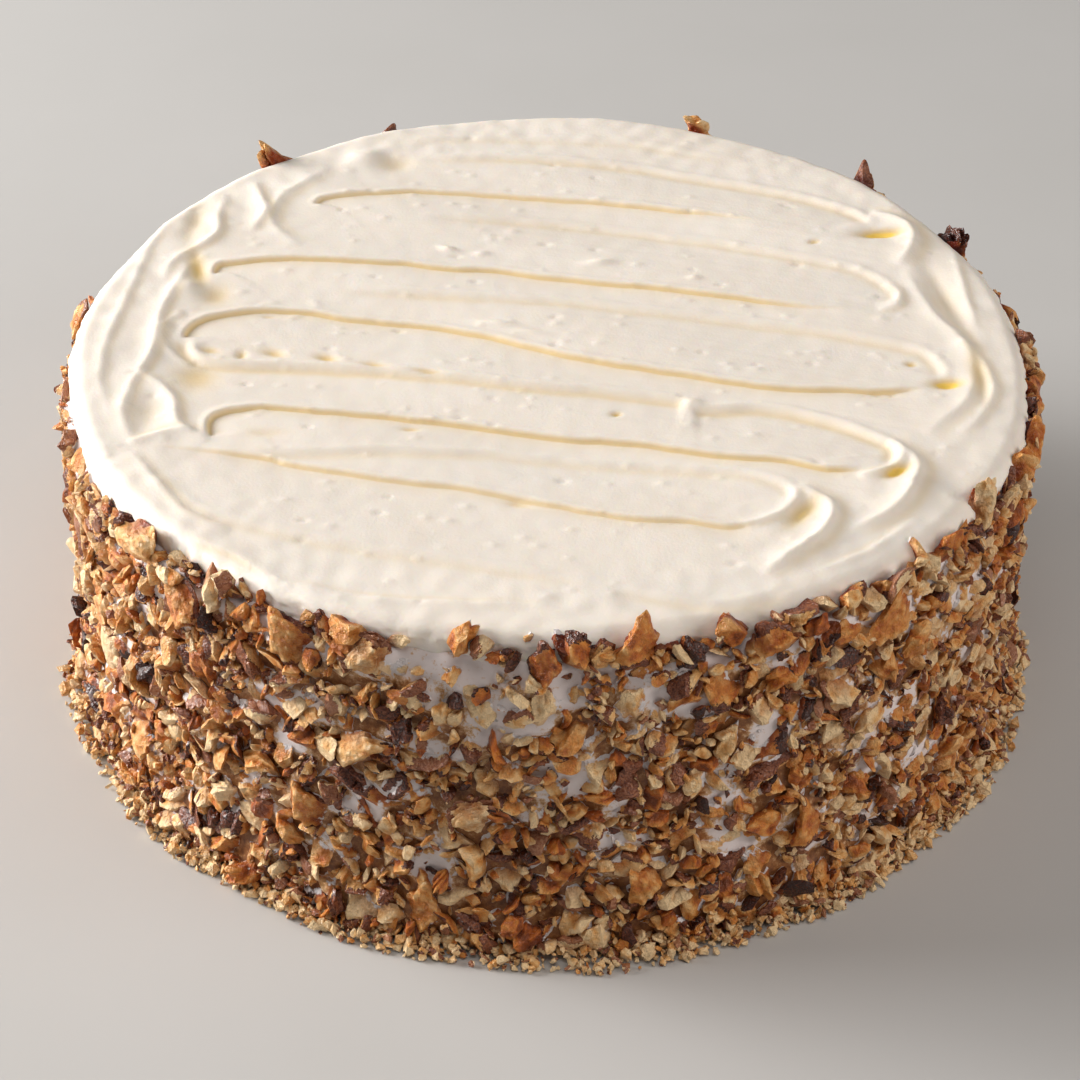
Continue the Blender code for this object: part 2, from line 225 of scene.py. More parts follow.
def walnutMaterial(name, skinShift, smearReach):
    # Chopped walnut kernel: broken faces are waxy, cream at the rim and amber where oil
    # shows through, finely grained; the skin is thin, brown, wrinkled and glossier; icing
    # clings to what touches it. The attribute kernel holds, for every point, how much of it
    # is skin, the tone of its piece, its height over the icing in millimetres and how near
    # it is to an edge.
    material, tree = newMaterial(name)
    marks = addNode(tree, "Attribute", {"attribute_name": "kernel"})
    split = addNode(tree, "SeparateColor", {}, {"Color": marks.outputs["Color"]})
    local = addNode(tree, "Attribute", {"attribute_name": "kernelPlace"})
    grain = addNode(tree, "TexNoise",
                    {"Scale": 1 / kernelLook["grain"], "Detail": 2.0, "Roughness": 0.65},
                    {"Vector": local.outputs["Vector"]})
    zone = addNode(tree, "TexNoise", {"Scale": 1 / kernelLook["zone"], "Detail": 2.0},
                   {"Vector": local.outputs["Vector"]})
    wrinkle = addNode(tree, "TexNoise",
                      {"Scale": 1 / kernelLook["wrinkle"], "Detail": 2.0, "Distortion": 1.8},
                      {"Vector": local.outputs["Vector"]})

    fleshTone = addNode(tree, "Math", {"operation": "MULTIPLY_ADD", 1: 1.2, 2: -0.55},
                        {0: zone.outputs["Fac"]})
    rimPale = addNode(tree, "Math", {"operation": "MULTIPLY_ADD", 1: -0.3},
                      {0: marks.outputs["Alpha"], 2: fleshTone.outputs[0]})
    fleshPlace = addNode(tree, "Math", {"operation": "ADD"},
                         {0: split.outputs["Green"], 1: rimPale.outputs[0]})
    flesh = addNode(tree, "ValToRGB", {}, {"Fac": fleshPlace.outputs[0]})
    setRamp(flesh, kernelLook["flesh"])
    fleck = addNode(tree, "MapRange",
                    {"From Min": 0.3, "From Max": 0.75, "To Min": 0.92, "To Max": 1.22},
                    {"Value": grain.outputs["Fac"]})
    fleshColor = addNode(tree, "VectorMath", {"operation": "SCALE"},
                         {0: flesh.outputs["Color"], "Scale": fleck.outputs[0]})

    skinTone = addNode(tree, "Math", {"operation": "MULTIPLY_ADD", 1: 1.7, 2: skinShift - 0.85},
                       {0: wrinkle.outputs["Fac"]})
    skinPlace = addNode(tree, "Math", {"operation": "ADD"},
                        {0: split.outputs["Green"], 1: skinTone.outputs[0]})
    skin = addNode(tree, "ValToRGB", {}, {"Fac": skinPlace.outputs[0]})
    setRamp(skin, kernelLook["skin"])

    torn = addNode(tree, "Math", {"operation": "MULTIPLY_ADD", 1: 1.0, 2: -0.5},
                   {0: wrinkle.outputs["Fac"]})
    edge = addNode(tree, "Math", {"operation": "ADD"}, {0: split.outputs["Red"], 1: torn.outputs[0]})
    skinShare = addNode(tree, "MapRange", {"From Min": 0.46, "From Max": 0.54},
                        {"Value": edge.outputs[0]})
    bare = addNode(tree, "Mix", {"data_type": "RGBA"},
                   {0: skinShare.outputs[0], 6: fleshColor.outputs[0], 7: skin.outputs["Color"]})

    place = addNode(tree, "TexCoord")
    cling = addNode(tree, "TexNoise", {"Scale": 1 / (4.0 * mm), "Detail": 3.0, "Roughness": 0.6},
                    {"Vector": place.outputs["Object"]})
    ragged = addNode(tree, "Math", {"operation": "MULTIPLY_ADD", 1: 5.5, 2: -2.75},
                     {0: cling.outputs["Fac"]})
    lift = addNode(tree, "Math", {"operation": "ADD"}, {0: ragged.outputs[0], 1: split.outputs["Blue"]})
    smear = addNode(tree, "MapRange",
                    {"From Min": smearReach, "From Max": smearReach + 0.3, "To Min": 1.0, "To Max": 0.0},
                    {"Value": lift.outputs[0]})
    # painted shade: parts of a piece that lie deep under the nuts round it are multiplied towards brown
    deep = addNode(tree, "Attribute", {"attribute_name": "creviceShade"})
    shaded = addNode(tree, "Mix", {"data_type": "RGBA", "blend_type": "MULTIPLY",
                                   7: linear(kernelLook["creviceShadeColor"])},
                     {0: deep.outputs["Fac"], 6: bare.outputs[2]})
    color = addNode(tree, "Mix", {"data_type": "RGBA", 7: linear(kernelLook["smear"])},
                    {0: smear.outputs[0], 6: shaded.outputs[2]})

    gloss = addNode(tree, "MapRange", {"To Min": 0.31, "To Max": 0.26}, {"Value": skinShare.outputs[0]})
    bentPlace = addNode(tree, "VectorMath", {"operation": "ADD"},
                        {0: local.outputs["Vector"], 1: wrinkle.outputs["Color"]})
    crumble = addNode(tree, "TexVoronoi", {"Scale": 1 / kernelLook["crumble"]},
                      {"Vector": bentPlace.outputs[0]})
    broken = addNode(tree, "Math", {"operation": "MULTIPLY_ADD", 1: 1.3},
                     {0: crumble.outputs["Distance"], 2: grain.outputs["Fac"]})
    relief = addNode(tree, "Mix", {"data_type": "FLOAT"},
                     {0: skinShare.outputs[0], 2: broken.outputs[0], 3: wrinkle.outputs["Fac"]})
    bump = addNode(tree, "Bump", {"Strength": 0.9, "Distance": 0.6 * mm}, {"Height": relief.outputs[0]})
    shader = addNode(tree, "BsdfPrincipled", {"IOR": 1.47},
                     {"Base Color": color.outputs[2], "Roughness": gloss.outputs[0],
                      "Normal": bump.outputs[0]})
    addNode(tree, "OutputMaterial", {}, {"Surface": shader.outputs[0]})
    return material


spreadIcing = spreadIcingMaterial()
smearedIcing = smearedIcingMaterial()
choppedWalnut = walnutMaterial("chopped walnut kernel", 0.10, 0.0)
brokenWalnut = walnutMaterial("broken walnut quarter with skin", 0.0, -0.1)
walnutMeal = walnutMaterial("walnut crumbs and meal", 0.0, -0.9)
print("materials: done")


# Icing spread over the top.

topIcing = {
    "pitch": 0.92,          # spacing of the surface points
    "columns": 800,         # points round the edge
    "lipReach": 4.2,        # the edge starts to turn down this far in
    "lipDrop": 3.8,         # and is upright this far down
    "tuck": 8.5,            # below that it slips behind the nuts
    "tuckIn": 1.8,          # and goes this far in
    "streak": 0.07,         # height of the fine lines that the knife left
    "lump": 0.16,           # height of the small lumps, larger in the outer strip
    "calmTo": 106.0,        # the outer strip starts fading in here
    "strip": 16.0,          # and is this wide
    # deepest also caps the painted crease shade and the painted yellow glow
    "deepest": 1.6,         # limit of the crease mark
    "lipRough": ((0.7, 5.0, 4), (0.55, 1.8, 5)),     # height, size and seed of its unevenness
    "cutRows": (-0.95, -0.42, 0.0, 0.42, 0.95),     # rows of points on and beside a cut
    "cutClear": 1.1,        # other points keep this far off
}

# Knife strokes: kind, depth of the step, lengths over which it fades in and out, and the
# points that it runs through, from left to right.
strokes = [
    ("drawn", 0.35, 25, 25, ((-45, 101), (-20, 103), (0, 102), (20, 101), (40, 95), (56, 90))),
    ("drawn", 0.65, 30, 6,
     ((-40, 91), (-20, 92), (0, 91), (20, 88), (40, 82), (61, 75), (79, 66), (85, 58))),
    ("cut", 0.8, 3, 30,
     ((-63, 65), (-61, 69), (-50, 72), (-37, 73.5), (-20, 73), (0, 71), (25, 67), (40, 64), (60, 59))),
    ("drawn", 0.5, 25, 6,
     ((-36, 61), (0, 57.5), (30, 52), (51, 46), (71, 39), (81, 34), (88, 25), (85, 19))),
    ("cut", 0.9, 3, 30,
     ((-86.6, 30), (-86, 34.5), (-81, 36.5), (-71, 38), (-41, 37), (-26, 34.5), (-15, 34.5), (0, 31),
      (25, 26.6), (46, 22.5), (66, 18), (79, 17.4))),
    ("drawn", 0.55, 30, 6,
     ((-60, 24), (0, 19), (20, 16), (41, 12), (61, 8), (76, 4), (87, 0), (92.5, -3), (96, -10),
      (94, -15))),
    ("cut", 0.95, 3, 10,
     ((-91, -0.5), (-90.5, 3), (-86.5, 8.5), (-78, 12.5), (-71, 13.5), (-61, 13), (-51, 10.5), (-30, 7),
      (-14, 2), (0, -4), (15, -9), (30, -13), (51, -18), (61, -19.3), (81, -19.3), (92, -18))),
    ("drawn", 0.95, 4, 3,
     ((-91, 0), (-88, -8), (-80, -11.5), (-61, -12), (-41, -14), (-20, -17), (0, -20.5), (15, -22),
      (34, -25.6))),
    ("drawn", 0.9, 2, 5,
     ((34.5, -28.5), (43, -28.5), (51, -27.5), (65, -32.5), (77, -40), (81, -44), (81, -48), (79, -52))),
    ("cut", 0.95, 3, 8,
     ((-80, -43), (-81, -38), (-80, -34), (-74, -31), (-65, -30), (-41, -33), (-20, -36), (0, -40.5),
      (20, -43), (37, -47), (56, -50), (65, -53), (75, -53.4))),
    ("drawn", 0.45, 20, 4,
     ((-78, -48), (-57, -49), (-20, -48), (0, -50), (30, -53), (41, -54), (49, -56), (55, -60),
      (56, -66))),
    ("cut", 0.75, 30, 8,
     ((-96, -46), (-80, -48), (-65, -51), (-60, -53.5), (-41, -58), (-20, -62), (0, -67.6), (10, -71),
      (20, -73), (30, -73.4), (41, -75.7), (49, -73))),
    ("drawn", 0.35, 15, 20,
     ((-91, -59), (-85, -67), (-79, -73), (-71, -76), (-51, -83), (-20, -90.5), (13, -98))),
    ("cut", 0.35, 8, 10, ((-83, -81), (-76, -85), (-69, -89), (-61, -97))),
    ("drawn", 0.4, 10, 10, ((13, -99), (30, -104), (41, -104), (49, -101), (55, -95))),
]

# The two kinds: half the width of the step, how far the slope after it runs, height and
# width of the lip before it, and how wide and how deep the shade in it is.
strokeKinds = {
    "cut": {"step": 0.4, "reach": 5.5, "lip": 0.3, "lipWide": 0.9,
            "shadeAt": 0.25, "shadeWide": 0.65, "shade": 1.0},
    "drawn": {"step": 1.1, "reach": 6.0, "lip": 0.42, "lipWide": 1.1,
              "shadeAt": 1.2, "shadeWide": 1.5, "shade": 0.5},
}

# Rolls and folds pushed up where the knife turned: height, half width, points.
rolls = [
    (2.2, 2.6, ((85, 65), (92, 61), (95, 55), (95, 48), (90, 38))),
    (1.3, 2.4, ((91, 36), (94, 26), (97, 15), (102, 5), (104, -5), (103, -18), (98, -28), (89, -39))),
    (1.0, 1.5, ((103, 4), (107, -8), (108, -18), (105, -28), (98, -38))),
    (0.8, 1.1, ((105, 48), (106, 28), (107, 8))),
    (1.0, 1.4, ((86, 30), (89, 24), (88, 19), (83, 18))),
    (2.3, 2.4, ((80, -42), (85, -47), (86, -54), (84, -61), (79, -69), (68, -77))),
    (1.1, 1.1, ((72, -56), (79, -53), (83, -48))),
    (1.2, 1.3, ((56, -60), (57, -65), (52, -71), (44, -75))),
    (2.3, 2.2, ((58, -60), (64, -66), (65, -71), (62, -78), (56, -85), (48, -93))),
    (1.2, 2.2, ((-60, 87), (-66, 78), (-72, 70), (-74, 62), (-73, 54), (-66, 44))),
    (1.5, 1.6, ((-80, 77), (-78, 69), (-76, 61), (-79, 51))),
    (1.4, 1.5, ((-87, 70), (-88, 58), (-88, 49), (-93, 42), (-98, 36), (-99, 26))),
    (0.9, 1.4, ((-99, 62), (-104, 46), (-106, 28), (-108, 12), (-110, -4), (-109, -20), (-104, -36))),
    (1.6, 1.7,
     ((-89, 41), (-93, 34), (-96, 22), (-98, 8), (-98, -6), (-101, -20), (-102, -32), (-98, -46))),
    (1.0, 1.3, ((-88, 14), (-95, 8), (-96, -1), (-91, -9), (-84, -13))),
    (1.7, 1.7, ((-100, -17), (-94, -22), (-90, -29), (-88, -38), (-80, -44))),
    (1.3, 1.5, ((-99, -45), (-91, -41), (-84, -40))),
    (1.3, 1.5, ((-98, -49), (-94, -56), (-88, -65), (-82, -73), (-72, -79))),
    (0.9, 1.3, ((-60, -97), (-40, -103), (-20, -105), (0, -106))),
    (0.9, 1.3, ((60, -92), (72, -84), (84, -72))),
]

# Mounds and hollows: height or depth, half length, half width, direction in degrees,
# middle, and how yellow the light makes the deepest ones.
mounds = [
    (2.1, 5.5, 5.0, 0, (-51, 91), 0.0), (-1.0, 4.5, 4.0, 0, (-43, 89), 0.2),
    (1.7, 4.4, 3.6, 60, (-92, 23), 0.0), (-0.9, 3.5, 5.0, 0, (-85, 20), 0.3),
    (-1.2, 4.0, 6.0, 0, (-96, -32), 0.1), (-0.8, 5.0, 6.0, 0, (-86, -17), 0.35),
    (-1.2, 2.2, 9.0, 12, (-91, 33), 0.5), (-0.9, 2.4, 10.0, -5, (-94, 56), 0.2),
    (-1.7, 5.0, 1.8, 8, (87, 54), 1.0), (-1.4, 3.4, 1.8, 5, (97, -16), 1.0),
    (-1.2, 3.4, 1.6, 35, (81, -54), 0.9), (-1.4, 2.6, 14.0, 12, (101, 22), 0.15),
    (-0.8, 6.0, 2.2, 55, (58, -70), 0.5), (-0.8, 2.0, 11.0, 0, (105, -12), 0.35),
    (0.9, 2.6, 2.0, 20, (34, -26), 0.0), (0.8, 3.4, 1.4, 10, (13, 38), 0.0),
    (0.6, 1.6, 1.0, 0, (37, 31), 0.0), (0.7, 2.4, 1.0, -20, (-27, 44), 0.0),
    (0.7, 5.0, 1.0, -10, (-13, 8), 0.0), (0.5, 4.0, 0.9, -12, (-5, 4), 0.0),
    (0.6, 2.0, 1.0, 10, (-18, 42), 0.0), (-0.7, 2.4, 1.2, -15, (-84, -5), 0.4),
    (-0.9, 1.2, 2.0, 0, (-76, -7), 0.4), (-0.9, 3.0, 1.4, -20, (-68, -6), 0.4),
    (-0.9, 2.6, 1.3, -15, (-55, -8), 0.5), (-0.8, 3.2, 1.0, -12, (-43, -11), 0.4),
    (-0.7, 3.4, 0.8, -12, (-30, -14), 0.4), (-0.5, 3.2, 1.6, -15, (-7, -67), 0.3),
    (-0.6, 1.2, 0.9, 0, (89, -7), 0.6), (-0.6, 1.2, 0.9, 30, (16, -31), 0.6),
    (-0.6, 1.4, 0.8, 20, (69, 49), 0.5), (-0.5, 1.8, 0.8, 0, (-71, 11), 0.3),
    (-0.4, 2.0, 1.0, 0, (-33, -38), 0.4), (-0.4, 5.0, 2.0, 0, (-67, -41), 0.15),
]

# Air pits and small bumps: how many, smallest and largest, height.
specks = [(60, 0.4, 0.9, -0.45), (260, 0.35, 0.9, 0.28)]


def around(radius, angle, z):
    # angle is the bearing from the front, in radians, growing to the right
    return np.stack([radius * np.sin(angle), -radius * np.cos(angle), z + 0.0 * angle], -1)


def rimAt(angle):
    deg = np.degrees(np.arctan2(np.sin(angle), np.cos(angle)))
    return rimRadius - 2.0 * np.exp(-((deg / 42.0) ** 2)) + 0.45 * np.sin(5 * angle + 1.9) \
        + 0.35 * np.sin(11 * angle + 0.4)


def curveThrough(points, step):
    ends = [points[0]] + list(points) + [points[-1]]
    line = []
    for k in range(1, len(ends) - 2):
        p0, p1, p2, p3 = (np.array(ends[k + j], float) for j in (-1, 0, 1, 2))
        count = max(1, int(round(np.linalg.norm(p2 - p1) / step)))
        for j in range(count):
            t = j / count
            line.append(0.5 * (2 * p1 + (p2 - p0) * t + (2 * p0 - 5 * p1 + 4 * p2 - p3) * t * t
                               + (3 * p1 - p0 - 3 * p2 + p3) * t ** 3))
    line.append(np.array(points[-1], float))
    return np.array(line)


def nearestOn(line, x, y):
    # signed distance to the curve, positive on its right, the length along it, its length
    best = np.full(x.shape, 1e9)
    side = np.zeros(x.shape)
    along = np.zeros(x.shape)
    done = 0.0
    for a, b in zip(line[:-1], line[1:]):
        d = b - a
        length = math.hypot(d[0], d[1])
        t = np.clip(((x - a[0]) * d[0] + (y - a[1]) * d[1]) / length ** 2, 0.0, 1.0)
        dx = x - a[0] - t * d[0]
        dy = y - a[1] - t * d[1]
        dist = np.hypot(dx, dy)
        closer = dist < best
        best = np.where(closer, dist, best)
        side = np.where(closer, np.sign(d[1] * dx - d[0] * dy), side)
        along = np.where(closer, done + t * length, along)
        done += length
    return best * side, along, done


def blobAt(x, y, length, width, turn, middle):
    a = math.radians(turn)
    u = (x - middle[0]) * math.cos(a) + (y - middle[1]) * math.sin(a)
    v = (y - middle[1]) * math.cos(a) - (x - middle[0]) * math.sin(a)
    return np.exp(-((u / length) ** 2) - ((v / width) ** 2))


def nearLine(line, x, y, margin):
    low = line.min(0) - margin
    high = line.max(0) + margin
    return np.nonzero((x > low[0]) & (x < high[0]) & (y > low[1]) & (y < high[1]))[0]


def drawnByHand(points, step, seed):
    # the smooth curve with the small wavering of a hand
    line = curveThrough(points, step)
    for size, amount in ((9.0, 0.5), (2.6, 0.16)):
        line[:, 1] += amount * noiseAt(np.column_stack([line, np.zeros(len(line))]), size, seed)
        line[:, 0] += amount * noiseAt(np.column_stack([line, np.zeros(len(line))]), size, seed + 40)
    return line


strokeLines = [drawnByHand(stroke[4], 2.0, 100 + k) for k, stroke in enumerate(strokes)]


def spreadRelief(x, y):
    # height over the mean plane, and how much painted shade each point gets from a crease:
    # 1 is a full painted shade, more is a painted yellow glow in a pocket
    total = 0.35 * np.sin(x / 21.0 + 1.0) * np.cos(y / 17.0) + 0.25 * np.sin((x + 2.2 * y) / 13.0)
    creaseShade = np.zeros(x.shape)
    flow = y + 0.0011 * (x + 60) ** 2 * (x > -60) + 0.06 * (x + 60)
    streaks = noiseAt(np.stack([x / 50, flow / 1.3, 0 * x], -1), 1.0, 1)
    streaks = streaks + 1.5 * noiseAt(np.stack([x / 36, flow / 3.6, 0 * x], -1), 1.0, 2)
    inside = smoothStep(topIcing["calmTo"] - np.hypot(x, y), 0.0, topIcing["strip"])
    total = total + topIcing["streak"] * streaks * inside
    lumps = noiseAt(np.stack([x / 5, y / 5, 0 * x], -1), 1.0, 6)
    total = total + topIcing["lump"] * lumps * (1.6 - inside)
    for (kind, depth, fadeIn, fadeOut, _), line in zip(strokes, strokeLines):
        look = strokeKinds[kind]
        near = nearLine(line, x, y, 3 * look["reach"])
        s, along, length = nearestOn(line, x[near], y[near])
        fade = smoothStep(along, 0.0, fadeIn) * smoothStep(length - along, 0.0, fadeOut)
        lip = look["lip"] * np.exp(-(((s + 0.8 + look["step"]) / look["lipWide"]) ** 2))
        step = smoothStep(s, -look["step"], look["step"]) * np.exp(-np.maximum(s, 0.0) / look["reach"])
        total[near] += depth * fade * (lip - step)
        # painted shade in a band just past the step of the stroke
        band = np.exp(-(((s - look["shadeAt"]) / look["shadeWide"]) ** 2))
        band = band + 0.25 * np.exp(-np.abs(s - 2.0) / 1.5)
        creaseShade[near] = np.maximum(creaseShade[near], fade * look["shade"] * min(1.0, depth / 0.9) * band)
    for height, halfWidth, points in rolls:
        line = drawnByHand(points, 1.5, 7)
        near = nearLine(line, x, y, 5 * halfWidth)
        s, along, length = nearestOn(line, x[near], y[near])
        ends = np.sin(math.pi * np.clip(along / length, 0.0, 1.0)) ** 0.6
        flank = np.where(s < 0, 0.75, 1.25) * halfWidth
        calm = 0.68 if points[0][0] < 0 else 0.85
        total[near] += calm * height * ends * np.exp(-(np.sqrt(s * s + 0.3) - 0.5) / flank * 1.25)
        # painted shade at the foot of the roll, on its side away from the lamps
        foot = np.exp(-(((s + 1.25 * halfWidth) / (0.6 * halfWidth)) ** 2))
        creaseShade[near] = np.maximum(creaseShade[near], 0.4 * min(1.0, height / 1.5) * ends * foot)
    for height, length, width, turn, middle, yellow in mounds:
        blob = blobAt(x, y, length, width, turn, middle)
        total = total + (0.75 if middle[0] < -40 else 1.0) * height * blob
        # painted shade in the hollows, growing into a painted yellow glow in the yellow ones
        creaseShade = np.maximum(creaseShade, 2.4 * yellow * blob)
    rng = np.random.default_rng(5)
    for count, low, high, lift in specks:
        for px, py, radius in zip(rng.uniform(-105, 105, count), rng.uniform(-105, 105, count),
                                  rng.uniform(low, high, count)):
            near = np.nonzero((np.abs(x - px) < 4) & (np.abs(y - py) < 3))[0]
            d2 = ((x[near] - px) / (1.6 * radius)) ** 2 + ((y[near] - py) / radius) ** 2
            total[near] += lift * np.exp(-d2)
    return total, np.clip(creaseShade, 0.0, topIcing["deepest"])


# Sags of the lip: how much, bearing and width in degrees.
lipSags = [(0.9, -34, 7.0), (0.6, 18, 9.0), (0.8, 52, 8.0), (0.7, -9, 6.0)]


def lipDrape(angle):
    # how much further the icing hangs over the edge in some places
    deg = np.degrees(angle)
    hang = sum(much * np.exp(-(((deg - middle) / wide) ** 2)) for much, middle, wide in lipSags)
    return hang + 0.25 * np.sin(7 * angle + 1.0) + 0.2 * np.sin(16 * angle)


def followingPoints():
    # close rows of points along each cut, so that its edge stays crisp
    rows = []
    for stroke, line in zip(strokes, strokeLines):
        if stroke[0] != "cut":
            continue
        fine = curveThrough(line, 0.75)
        way = np.gradient(fine, axis=0)
        way /= np.linalg.norm(way, axis=1)[:, None]
        across = np.column_stack([way[:, 1], -way[:, 0]])
        rows += [fine + across * offset for offset in topIcing["cutRows"]]
    return np.concatenate(rows)


def makeTopIcing():
    columns = topIcing["columns"]
    pitch = topIcing["pitch"]
    angle = np.arange(columns) * 2 * math.pi / columns
    inner = around(rimAt(angle) - topIcing["lipReach"], angle, 0.0)[:, :2]
    rows = int(rimRadius / (pitch * 0.866)) + 2
    grid = []
    for row in range(-rows, rows + 1):
        xs = (np.arange(-rows, rows + 1) + 0.5 * (row % 2)) * pitch
        grid.append(np.stack([xs, np.full(xs.shape, row * pitch * 0.866)], -1))
    grid = np.concatenate(grid)
    bearing = np.arctan2(grid[:, 0], -grid[:, 1])
    keep = np.hypot(grid[:, 0], grid[:, 1]) < rimAt(bearing) - topIcing["lipReach"] - 0.6 * pitch
    follow = followingPoints()
    for line in [strokeLines[k] for k in range(len(strokes)) if strokes[k][0] == "cut"]:
        near = np.nonzero(keep)[0][nearLine(line, *grid[keep].T, 1.0)]
        s, _, _ = nearestOn(line, grid[near, 0], grid[near, 1])
        keep[near[np.abs(s) < topIcing["cutClear"]]] = False
    plan = np.concatenate([inner, grid[keep], follow])
    edges = [(k, (k + 1) % columns) for k in range(columns)]
    flat, _, faces, _, _, _ = delaunay_2d_cdt([Vector(p) for p in plan], edges, [], 1, 1e-6)
    flat = np.array([(p.x, p.y) for p in flat])
    lift, creaseShade = spreadRelief(flat[:, 0], flat[:, 1])
    verts = [np.column_stack([flat, slabTop + lift])]
    creaseShades = [creaseShade]
    triangles = [np.array([tuple(f) for f in faces])]
    last = np.arange(columns)
    count = len(flat)
    drape = lipDrape(angle)
    turn = np.linspace(0, math.pi / 2, 12)[1:]
    profile = [(topIcing["lipReach"] * (1 - math.sin(t)), topIcing["lipDrop"] * (1 - math.cos(t)), 1.0)
               for t in turn]
    for k in range(1, 8):
        t = k / 7
        profile.append((topIcing["tuckIn"] * t * t, topIcing["lipDrop"] + topIcing["tuck"] * t, 1.0 - t))
    profile.append((6.0, topIcing["lipDrop"] + topIcing["tuck"], 0.0))
    for inset, drop, keepRelief in profile:
        share = min(1.0, drop / topIcing["lipDrop"])
        ring = around(rimAt(angle) - inset + 0.9 * drape * share * keepRelief, angle, 0.0)
        ringLift, ringCreaseShade = spreadRelief(ring[:, 0], ring[:, 1])
        level = np.column_stack([ring[:, :2], np.full(columns, drop * 1.5)])
        rough = sum(high * noiseAt(level, size, seed) for high, size, seed in topIcing["lipRough"])
        ring[:, :2] *= (1 + rough * share / rimRadius)[:, None]
        z = slabTop + ringLift * keepRelief - drop * (1 + 0.25 * drape * keepRelief)
        verts.append(np.column_stack([ring[:, :2], z]))
        creaseShades.append(ringCreaseShade * (1 - share))
        here = np.arange(columns) + count
        nxt = np.roll(last, -1)
        nxtHere = np.roll(here, -1)
        triangles.append(np.column_stack([last, here, nxtHere]))
        triangles.append(np.column_stack([last, nxtHere, nxt]))
        last = here
        count += columns
    bottom = np.array([[0.0, 0.0, verts[-1][:, 2].mean()]])
    verts.append(bottom)
    creaseShades.append(np.zeros(1))
    triangles.append(np.column_stack([last, np.full(columns, count), np.roll(last, -1)]))
    verts = np.concatenate(verts) * mm
    triangles = np.concatenate(triangles)
    triangles = facingOut(verts, triangles)
    mesh = meshFrom("TopIcing", verts, triangles)
    markPoints(mesh, "creaseShade", "FLOAT", np.concatenate(creaseShades))
    return addPiece("TopIcing", mesh, spreadIcing, ["icing_top"])


def facingOut(verts, triangles):
    # turns the whole closed shell over if its volume comes out negative
    a, b, c = (verts[triangles[:, k]] for k in range(3))
    volume = np.einsum("ij,ij->i", a, np.cross(b, c)).sum()
    return triangles if volume > 0 else triangles[:, ::-1]


makeTopIcing()


# Walnut forms.

def unitSphere(levels):
    bm = bmesh.new()
    bmesh.ops.create_icosphere(bm, subdivisions=levels, radius=1.0)
    points = np.array([v.co[:] for v in bm.verts])
    triangles = np.array([[v.index for v in f.verts] for f in bm.faces])
    bm.free()
    return points / np.linalg.norm(points, axis=1)[:, None], triangles


def decimated(points, triangles, target):
    mesh = meshFrom("form", points, triangles)
    obj = bpy.data.objects.new("form", mesh)
    bpy.context.scene.collection.objects.link(obj)
    thin = obj.modifiers.new("thin", "DECIMATE")
    thin.ratio = min(1.0, target / len(triangles))
    shape = obj.evaluated_get(bpy.context.evaluated_depsgraph_get()).to_mesh()
    co = np.empty(len(shape.vertices) * 3, np.float32)
    shape.vertices.foreach_get("co", co)
    shape.calc_loop_triangles()
    tri = np.empty(len(shape.loop_triangles) * 3, np.int32)
    shape.loop_triangles.foreach_get("vertices", tri)
    bpy.data.objects.remove(obj)
    bpy.data.meshes.remove(mesh)
    return co.reshape(-1, 3).astype(float), tri.reshape(-1, 3)


def edgeShare(points, triangles):
    # how far each point stands out from the points round it: 0 in a face, 1 on an edge
    total = np.zeros(points.shape)
    normal = np.zeros(points.shape)
    count = np.zeros(len(points))
    a, b, c = (points[triangles[:, k]] for k in range(3))
    facing = np.cross(b - a, c - a)
    for k, others in enumerate((b + c, a + c, a + b)):
        np.add.at(total, triangles[:, k], others)
        np.add.at(normal, triangles[:, k], facing)
        np.add.at(count, triangles[:, k], 2)
    away = points - total / count[:, None]
    normal /= np.linalg.norm(normal, axis=1)[:, None] + 1e-9
    spacing = np.sqrt(np.linalg.norm(facing, axis=1).mean())
    return smoothStep((away * normal).sum(1) / spacing, 0.0, 0.45)


